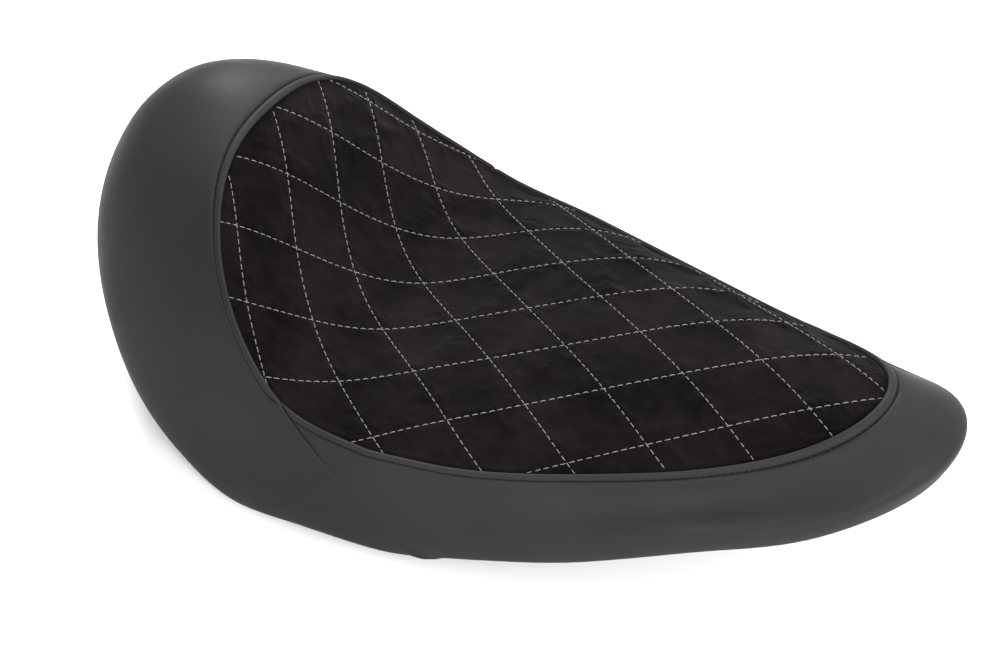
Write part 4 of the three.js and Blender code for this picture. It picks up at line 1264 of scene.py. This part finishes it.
def pan_shell():
    angle = angles_round(PAN_LINES)
    reach = pan_reach(angle)
    near = np.array(NEAR_PAN_EDGE, float)
    inner = near[-1] + (reach - near[-1]) * np.arange(1, 13) / 12
    inward = np.concatenate([near + 0 * reach, inner], 1)
    under = pan_under(angle + 0 * inward, inward)
    top = under - PAN * pan_normal(angle + 0 * inward, np.minimum(inward, reach - 2))
    rim = (under[:, :1] + top[:, :1]) / 2 + hem_outward(angle)
    return ring_solid("moulded_pan", np.concatenate([top[:, ::-1], rim, under], 1), PAN_PLASTIC)


def seat_pan():
    piece = pan_shell()
    for y in (-RIB_Y, RIB_Y):
        cut(piece, rib((RIB_ENDS[0], y), (RIB_ENDS[1], y)), "UNION")
    for x in CROSS_RIB_X:
        cut(piece, rib((x, -RIB_Y), (x, RIB_Y)), "UNION")
    for number in range(1, BUMPERS + 1):
        x, y, _, low = middle_of(f"bumper_{number}")
        low, high = low + BOSS_GAP, float(pan_height(x, y)) + PAN / 2
        boss = [(0, low), (BOSS_RADIUS, low), (BOSS_RADIUS + BOSS_DRAFT, high), (0, high)]
        cut(piece, turned("tool", boss, (x, y, 0), PAN_PLASTIC), "UNION")
    for x0, x1, half, z0, z1 in (STRAP_PAD, TONGUE_PAD):
        cut(piece, block(x0, x1, -half, half, z0, z1), "UNION")
    sharpened(piece, 40)
    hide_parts("seat_pan")


# ---------------------------------------------------------------- turned pieces

def rounded(profile, radius):
    """The profile with its inner corners as arcs."""
    points = [np.array(p, float) for p in profile]
    result = [points[0]]
    for before, corner, after in zip(points, points[1:], points[2:]):
        back, on = before - corner, after - corner
        reach = min(radius, 0.45 * np.linalg.norm(back), 0.45 * np.linalg.norm(on))
        first, last = corner + reach * unit(back), corner + reach * unit(on)
        for u in (0, 0.25, 0.5, 0.75, 1):
            result.append((1 - u) ** 2 * first + 2 * u * (1 - u) * corner + u * u * last)
    result.append(points[-1])
    return result


UP = (0, 0, 1)


def turned(name, profile, place, material, body="seat", sides=64, axis=UP):
    """Solid turned round an axis from (radius, height) points: they start and end on the
    axis, or else go round the section of a ring."""
    profile = np.array(profile, float)
    if profile[0, 0] > 0:
        profile = np.concatenate([profile, profile[:1]])
    around = angles_round(sides)
    radius, height = profile.T
    local = np.stack([np.cos(around) * radius, np.sin(around) * radius, height + 0 * around], -1)
    turn = np.array(Vector(UP).rotation_difference(Vector(axis)).to_matrix())
    points = local @ turn.T + np.array(place, float)
    faces = grid_faces(sides, len(profile), True)
    return sharpened(solid_piece(name, points.reshape(-1, 3), faces, material, body))


def ring_section(inner, outer, low, high, ease=0.3):
    """Section of a ring with eased edges."""
    return rounded([(inner, low), (outer, low), (outer, high), (inner, high), (inner, low + 0.01)], ease)


def drilled(piece, place, radius, low, high, sides=48):
    """Cuts a round hole through a piece."""
    hole = [(0, low), (radius, low), (radius, high), (0, high)]
    cut(piece, turned("tool", hole, (*place, 0), BLACK_STEEL, sides=sides), "DIFFERENCE")


def middle_of(node):
    """Middle of a node's box seen from above, and its lowest and highest points."""
    low, high = (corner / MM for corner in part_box(node))
    return (low.x + high.x) / 2, (low.y + high.y) / 2, low.z, high.z


def hexagon(radius, low, high, x, y):
    """Prism that cuts a hexagon socket."""
    around = angles_round(6)[:, 0]
    corners = x + radius * np.cos(around), y + radius * np.sin(around)
    sections = [np.stack([*corners, z + 0 * around], -1) for z in (low, high)]
    return loft("tool", np.array(sections), ZINC)


def cross_recess(x, y, low, high):
    for along, across in ((2.4, 0.55), (0.55, 2.4)):
        yield block(x - along, x + along, y - across, y + across, low, high)


BUMPER_PROFILE = rounded([
    (2.4, 4), (5.2, 4), (5.2, 0), (9.6, 0), (11, 1.6), (11, 7.4), (10.3, 7.9),
    (10.3, 8.6), (11, 9.1), (11, 12), (2.4, 12), (2.4, 4.2),
], 0.6)
SCREW_PROFILE = rounded([
    (0, 1), (2.6, 1), (4.5, 2.2), (4.5, 3.7), (2, 3.7), (2, 20), (1.2, 21), (0, 21),
], 0.4)


def bumpers():
    for number in range(1, BUMPERS + 1):
        x, y, foot, _ = middle_of(f"bumper_{number}")
        piece = turned(f"rubber_bumper_{number}", BUMPER_PROFILE, (x, y, foot), RUBBER)
        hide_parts(f"bumper_{number}")
        name = f"bumper_screw_head_{number}"
        screw = turned(name, SCREW_PROFILE, (x, y, foot), ZINC, sides=40)
        for tool in cross_recess(x, y, foot - 1, foot + 2.4):
            cut(screw, tool, "DIFFERENCE")
        sharpened(screw)
        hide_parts(f"bumper_screw_{number}")


def strap_fasteners():
    for number in (1, 2):
        x, y, low, high = middle_of(f"strap_washer_{number}")
        washer = turned(f"flat_washer_{number}", ring_section(3.3, 8, low, high), (x, y, 0), ZINC)
        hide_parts(f"strap_washer_{number}")
        x, y, low, high = middle_of(f"strap_bolt_{number}")
        head = [(0, 0), (3.4, 0), (5.6, 2), (5.6, 3.4), (3, 3.4), (3, high - low), (0, high - low)]
        bolt = turned(f"button_bolt_{number}", rounded(head, 0.6), (x, y, low), ZINC)
        cut(bolt, hexagon(2.3, low - 1, low + 2.2, x, y), "DIFFERENCE")
        sharpened(bolt)
        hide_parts(f"strap_bolt_{number}")
        x, y, low, high = middle_of(f"tee_nut_{number}")
        low -= high
        barrel = [(3.3, low), (4, low), (4, -1.5), (9, -1.5), (9, 0), (3.3, 0), (3.3, low + 0.01)]
        nut = turned(f"insert_nut_{number}", rounded(barrel, 0.3), (x, y, high), ZINC)
        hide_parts(f"tee_nut_{number}")


def tongue_rivets():
    for number in (1, 2, 3):
        x, y, low, high = middle_of(f"tongue_rivet_{number}")
        dome = [(0, 0), (2.2, 0.15), (3.8, 0.9), (4.5, 2.0), (2.4, 2.0)]
        profile = [(r, low + z) for r, z in dome] + [(r, high - z) for r, z in dome[::-1]]
        piece = turned(f"solid_rivet_{number}", rounded(profile, 0.3), (x, y, 0), ZINC, sides=40)
        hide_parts(f"tongue_rivet_{number}")


HEM_RIVET_ANGLES = (12, 36, 58, 90, 113, 137, 160)
HEM_RIVET_INWARD = 16
HEM_RIVET_PROFILE = rounded([
    (0, -1.6), (1.0, -1.5), (2.4, -1.25), (3.6, -0.65), (4.2, -0.1),
    (4.2, 0.9), (1.6, 1.1), (1.6, 5.5), (0, 5.5),
], 0.25)


def hem_rivets():
    signed = [side * angle for angle in HEM_RIVET_ANGLES for side in (-1, 1)]
    for number, angle in enumerate(signed, 1):
        where = np.array([angle * DEG]), HEM_RIVET_INWARD
        normal = pan_normal(*where)[0]
        place = pan_under(*where)[0] + (COVER + WRAP_GAP + 0.9) * normal
        name = f"push_rivet_{number}"
        piece = turned(name, HEM_RIVET_PROFILE, place, RIVET_BLACK, sides=36, axis=-normal)
        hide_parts(f"hem_rivet_{number}")


# ---------------------------------------------------------------- steel plates

PLATE = 3
PLATE_EASE = 0.5
BEND_RADIUS = 6
# Where the strap and the tongue bend, and the length of their round ends.
STRAP_BENDS = (-143, -216)
TONGUE_BENDS = (148, 158)
ROUND_END = 14
TONGUE_CORNER = 12
TAB_HOLE, BOLT_HOLE, RIVET_HOLE = 3.68, 3.4, 2.8


def plate_piece(name, corners, half_width, stations):
    """Flat bar bent along a line of its top face, from its [x, z] corners, with eased edges."""
    line = np.array(rounded(corners, BEND_RADIUS))
    run = run_along(line)
    at = np.union1d(run, np.linspace(0, run[-1], stations))
    tip = run[-1] - ROUND_END * (1 - np.cos(np.linspace(0.06, math.pi / 2, 24)))
    at = np.union1d(at, tip[::-1])
    at = at[np.concatenate([[True], np.diff(at) > 0.05])]
    at = at[at <= tip.max()]
    x, z = np.interp(at, run, line[:, 0]), np.interp(at, run, line[:, 1])
    slope = np.arctan2(np.gradient(z, at), np.gradient(x, at))
    ease = PLATE_EASE
    upper = [(1, -ease, 0), (1, -ease * 0.3, -ease * 0.3), (1, 0, -ease)]
    around = upper + [(side, inset, -PLATE - drop) for side, inset, drop in upper[::-1]]
    around += [(-side, -inset, drop) for side, inset, drop in around[::-1]]
    sections = np.empty((len(at), len(around), 3))
    wide = half_width(x)
    for k, (side, inset, drop) in enumerate(around):
        sections[:, k, 0] = x - np.sin(slope) * drop * np.sign(np.cos(slope))
        sections[:, k, 1] = side * wide + inset
        sections[:, k, 2] = z + np.abs(np.cos(slope)) * drop
    return loft(name, sections, BLACK_STEEL)


def rear_strap():
    low, high = (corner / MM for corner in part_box("rear_strap"))
    screw_x = middle_of("thumb_screw")[0]
    half = high.y
    flat = low.z + PLATE
    bends = [(STRAP_BENDS[0], flat), (STRAP_BENDS[1], high.z)]

    def width(x):
        past = np.clip(screw_x - x, 0, half)
        return np.sqrt(np.maximum(half * half - past * past, 0.6))

    corners = [(high.x, flat), *bends, (low.x, high.z)]
    piece = plate_piece("steel_strap", corners, width, 60)
    drilled(piece, (screw_x, 0), TAB_HOLE, high.z - 8, high.z + 4)
    for number in (1, 2):
        x = middle_of(f"strap_bolt_{number}")[0]
        drilled(piece, (x, 0), BOLT_HOLE, low.z - 5, low.z + 8)
    sharpened(piece, 30)
    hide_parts("rear_strap")


def front_tongue():
    low, high = (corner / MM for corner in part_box("front_tongue"))
    half, corner = high.y, TONGUE_CORNER
    flat = low.z + PLATE
    bends = [(TONGUE_BENDS[0], high.z), (TONGUE_BENDS[1], flat)]

    def width(x):
        past = np.clip(x - (high.x - corner), 0, corner)
        return half - corner + np.sqrt(np.maximum(corner * corner - past * past, 0))

    piece = plate_piece("steel_tongue", [(low.x, high.z), *bends, (high.x, flat)], width, 40)
    for number in (1, 2, 3):
        place = middle_of(f"tongue_rivet_{number}")[:2]
        drilled(piece, place, RIVET_HOLE, high.z - 6, high.z + 3, sides=40)
    sharpened(piece, 30)
    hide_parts("front_tongue")


# ---------------------------------------------------------------- thumb screw

KNOB_TEETH = 36
TOOTH_DEPTH = 0.55
KNOB_HEIGHT = 9
THREAD_PITCH = 1.27
THREAD_RADIUS = 3.1
# Knurled knob: radius, height, and share of a tooth's depth, from its base and from its top.
KNOB_BASE = [(0, -0.02, 0), (8.6, -0.02, 0), (9.9, 0.1, 0), (10.6, 0.9, 0.6), (10.9, 1.6, 1)]
KNOB_TOP = [
    (10.9, -1.6, 1), (10.6, -0.9, 0.6), (9.9, -0.1, 0), (8.4, 0, 0), (7.4, -0.3, 0),
    (7.0, -1.2, 0), (6.6, -2.6, 0), (5.8, -3, 0), (0, -3, 0),
]
COLLAR = rounded([(0, -1.2), (3.1, -1.2), (8, -1.1), (8, 0.6), (0, 0.6)], 0.3)


def thumb_screw():
    x, y, low, high = middle_of("thumb_screw")
    body = "rear_screw"
    around = angles_round(KNOB_TEETH * 6)[:, 0]
    tooth = TOOTH_DEPTH * np.abs(np.sin(KNOB_TEETH * around / 2))
    base = high - KNOB_HEIGHT
    rows = [(radius, base + z, share) for radius, z, share in KNOB_BASE]
    rows += [(radius, high + z, share) for radius, z, share in KNOB_TOP]
    sections = np.empty((len(around), len(rows), 3))
    for k, (radius, z, share) in enumerate(rows):
        r = radius - share * tooth
        sections[:, k] = np.stack([x + r * np.cos(around), y + r * np.sin(around), z + 0 * around], -1)
    knob = ring_solid("knurled_thumb_screw", sections, KNURLED, body)
    cut(knob, turned("tool", COLLAR, (x, y, base), KNURLED, sides=72), "UNION")
    cut(knob, threaded_shank(x, y, low, base), "UNION")
    sharpened(knob, 30)
    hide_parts("thumb_screw")
    x, y, low, high = middle_of("screw_washer")
    section = ring_section(3.5, 7.5, low, high, 0.35)
    washer = turned("nylon_hold_washer", section, (x, y, 0), NYLON, body)
    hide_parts("screw_washer")


def threaded_shank(x, y, low, high):
    """Shank with a helical thread up to the tab, and a plain neck above it."""
    around = angles_round(32)
    heights = np.linspace(low + 1.2, high + 0.3, 150)
    turns = (heights - low) / THREAD_PITCH - around / (2 * math.pi)
    wave = np.abs(2 * (turns % 1) - 1)
    start = smooth(low + 1, low + 3, heights)
    cutting = start * (1 - smooth(high - 7, high - 5, heights))
    radius = THREAD_RADIUS - 0.55 * (1 - wave) * cutting - 0.35 * (1 - start)
    on_axis = 0 * around
    radius = np.concatenate([on_axis, on_axis + 2, radius, on_axis], 1)
    level = np.concatenate([[low, low], heights, heights[-1:]])
    sections = [x + radius * np.cos(around), y + radius * np.sin(around), level + 0 * around]
    return ring_solid("tool", np.stack(sections, -1), KNURLED)


seat_pan()
bumpers()
strap_fasteners()
tongue_rivets()
hem_rivets()
rear_strap()
front_tongue()
thumb_screw()


# ---------------------------------------------------------------- floor, light and camera

FLOOR_REACH = 40


def stage():
    material, _, _ = new_material("floor", (0.58, 0.58, 0.58), 0.9, 0.1)
    mesh = bpy.data.meshes.new("floor")
    corners = [(x * FLOOR_REACH, y * FLOOR_REACH, 0) for x, y in ((-1, -1), (1, -1), (1, 1), (-1, 1))]
    mesh.from_pydata(corners, [], [(0, 1, 2, 3)])
    mesh.materials.append(material)
    floor = bpy.data.objects.new("floor", mesh)
    bpy.context.scene.collection.objects.link(floor)


def soft_light(name, place, target, power, size=1.2):
    data = bpy.data.lights.new(name, "AREA")
    data.shape = "DISK"
    data.size = size
    data.energy = power
    light = bpy.data.objects.new(name, data)
    direction = Vector(target) - Vector(place)
    light.location = place
    light.rotation_euler = direction.to_track_quat("-Z", "Y").to_euler()
    bpy.context.scene.collection.objects.link(light)


# Studio light: how bright it is from behind the seat and from ahead of it.
LIGHT_BEHIND, LIGHT_AHEAD = 0.2, 3.5


def lights():
    world = bpy.data.worlds.new("studio")
    world.use_nodes = True
    tree = world.node_tree
    direction = tree.nodes.new("ShaderNodeTexCoord").outputs["Generated"]
    split = tree.nodes.new("ShaderNodeSeparateXYZ")
    tree.links.new(direction, split.inputs[0])
    strength = ranged(tree, split.outputs["X"], -1, 1, LIGHT_BEHIND, LIGHT_AHEAD)
    background = tree.nodes["Background"]
    background.inputs["Color"].default_value = (1, 1, 1, 1)
    tree.links.new(strength, background.inputs["Strength"])
    bpy.context.scene.world = world
    soft_light("key", (-0.85, 1.1, 1.5), (-0.1, 0, 0.12), 90)
    soft_light("fill", (1.1, -1.0, 0.95), (0, 0, 0.1), 48)


CAMERA_AZIMUTH = 27.465 * DEG
CAMERA_HEIGHT = 42.761 * DEG
CAMERA_ROLL = 0.457 * DEG
CAMERA_PLACE = (0.3000, -0.5563, 0.6523)
CAMERA_LENS = 52.18


def camera():
    data = bpy.data.cameras.new("camera")
    data.sensor_width = 36
    data.lens = CAMERA_LENS
    data.clip_start = 0.01
    view = bpy.data.objects.new("camera", data)
    swing = Matrix.Rotation(CAMERA_AZIMUTH, 4, "Z")
    tilt = Matrix.Rotation(math.pi / 2 - CAMERA_HEIGHT, 4, "X")
    roll = Matrix.Rotation(CAMERA_ROLL, 4, "Z")
    view.matrix_world = Matrix.Translation(CAMERA_PLACE) @ swing @ tilt @ roll
    bpy.context.scene.collection.objects.link(view)
    bpy.context.scene.camera = view


stage()
lights()
camera()
bpy.context.scene.view_settings.view_transform = "Standard"
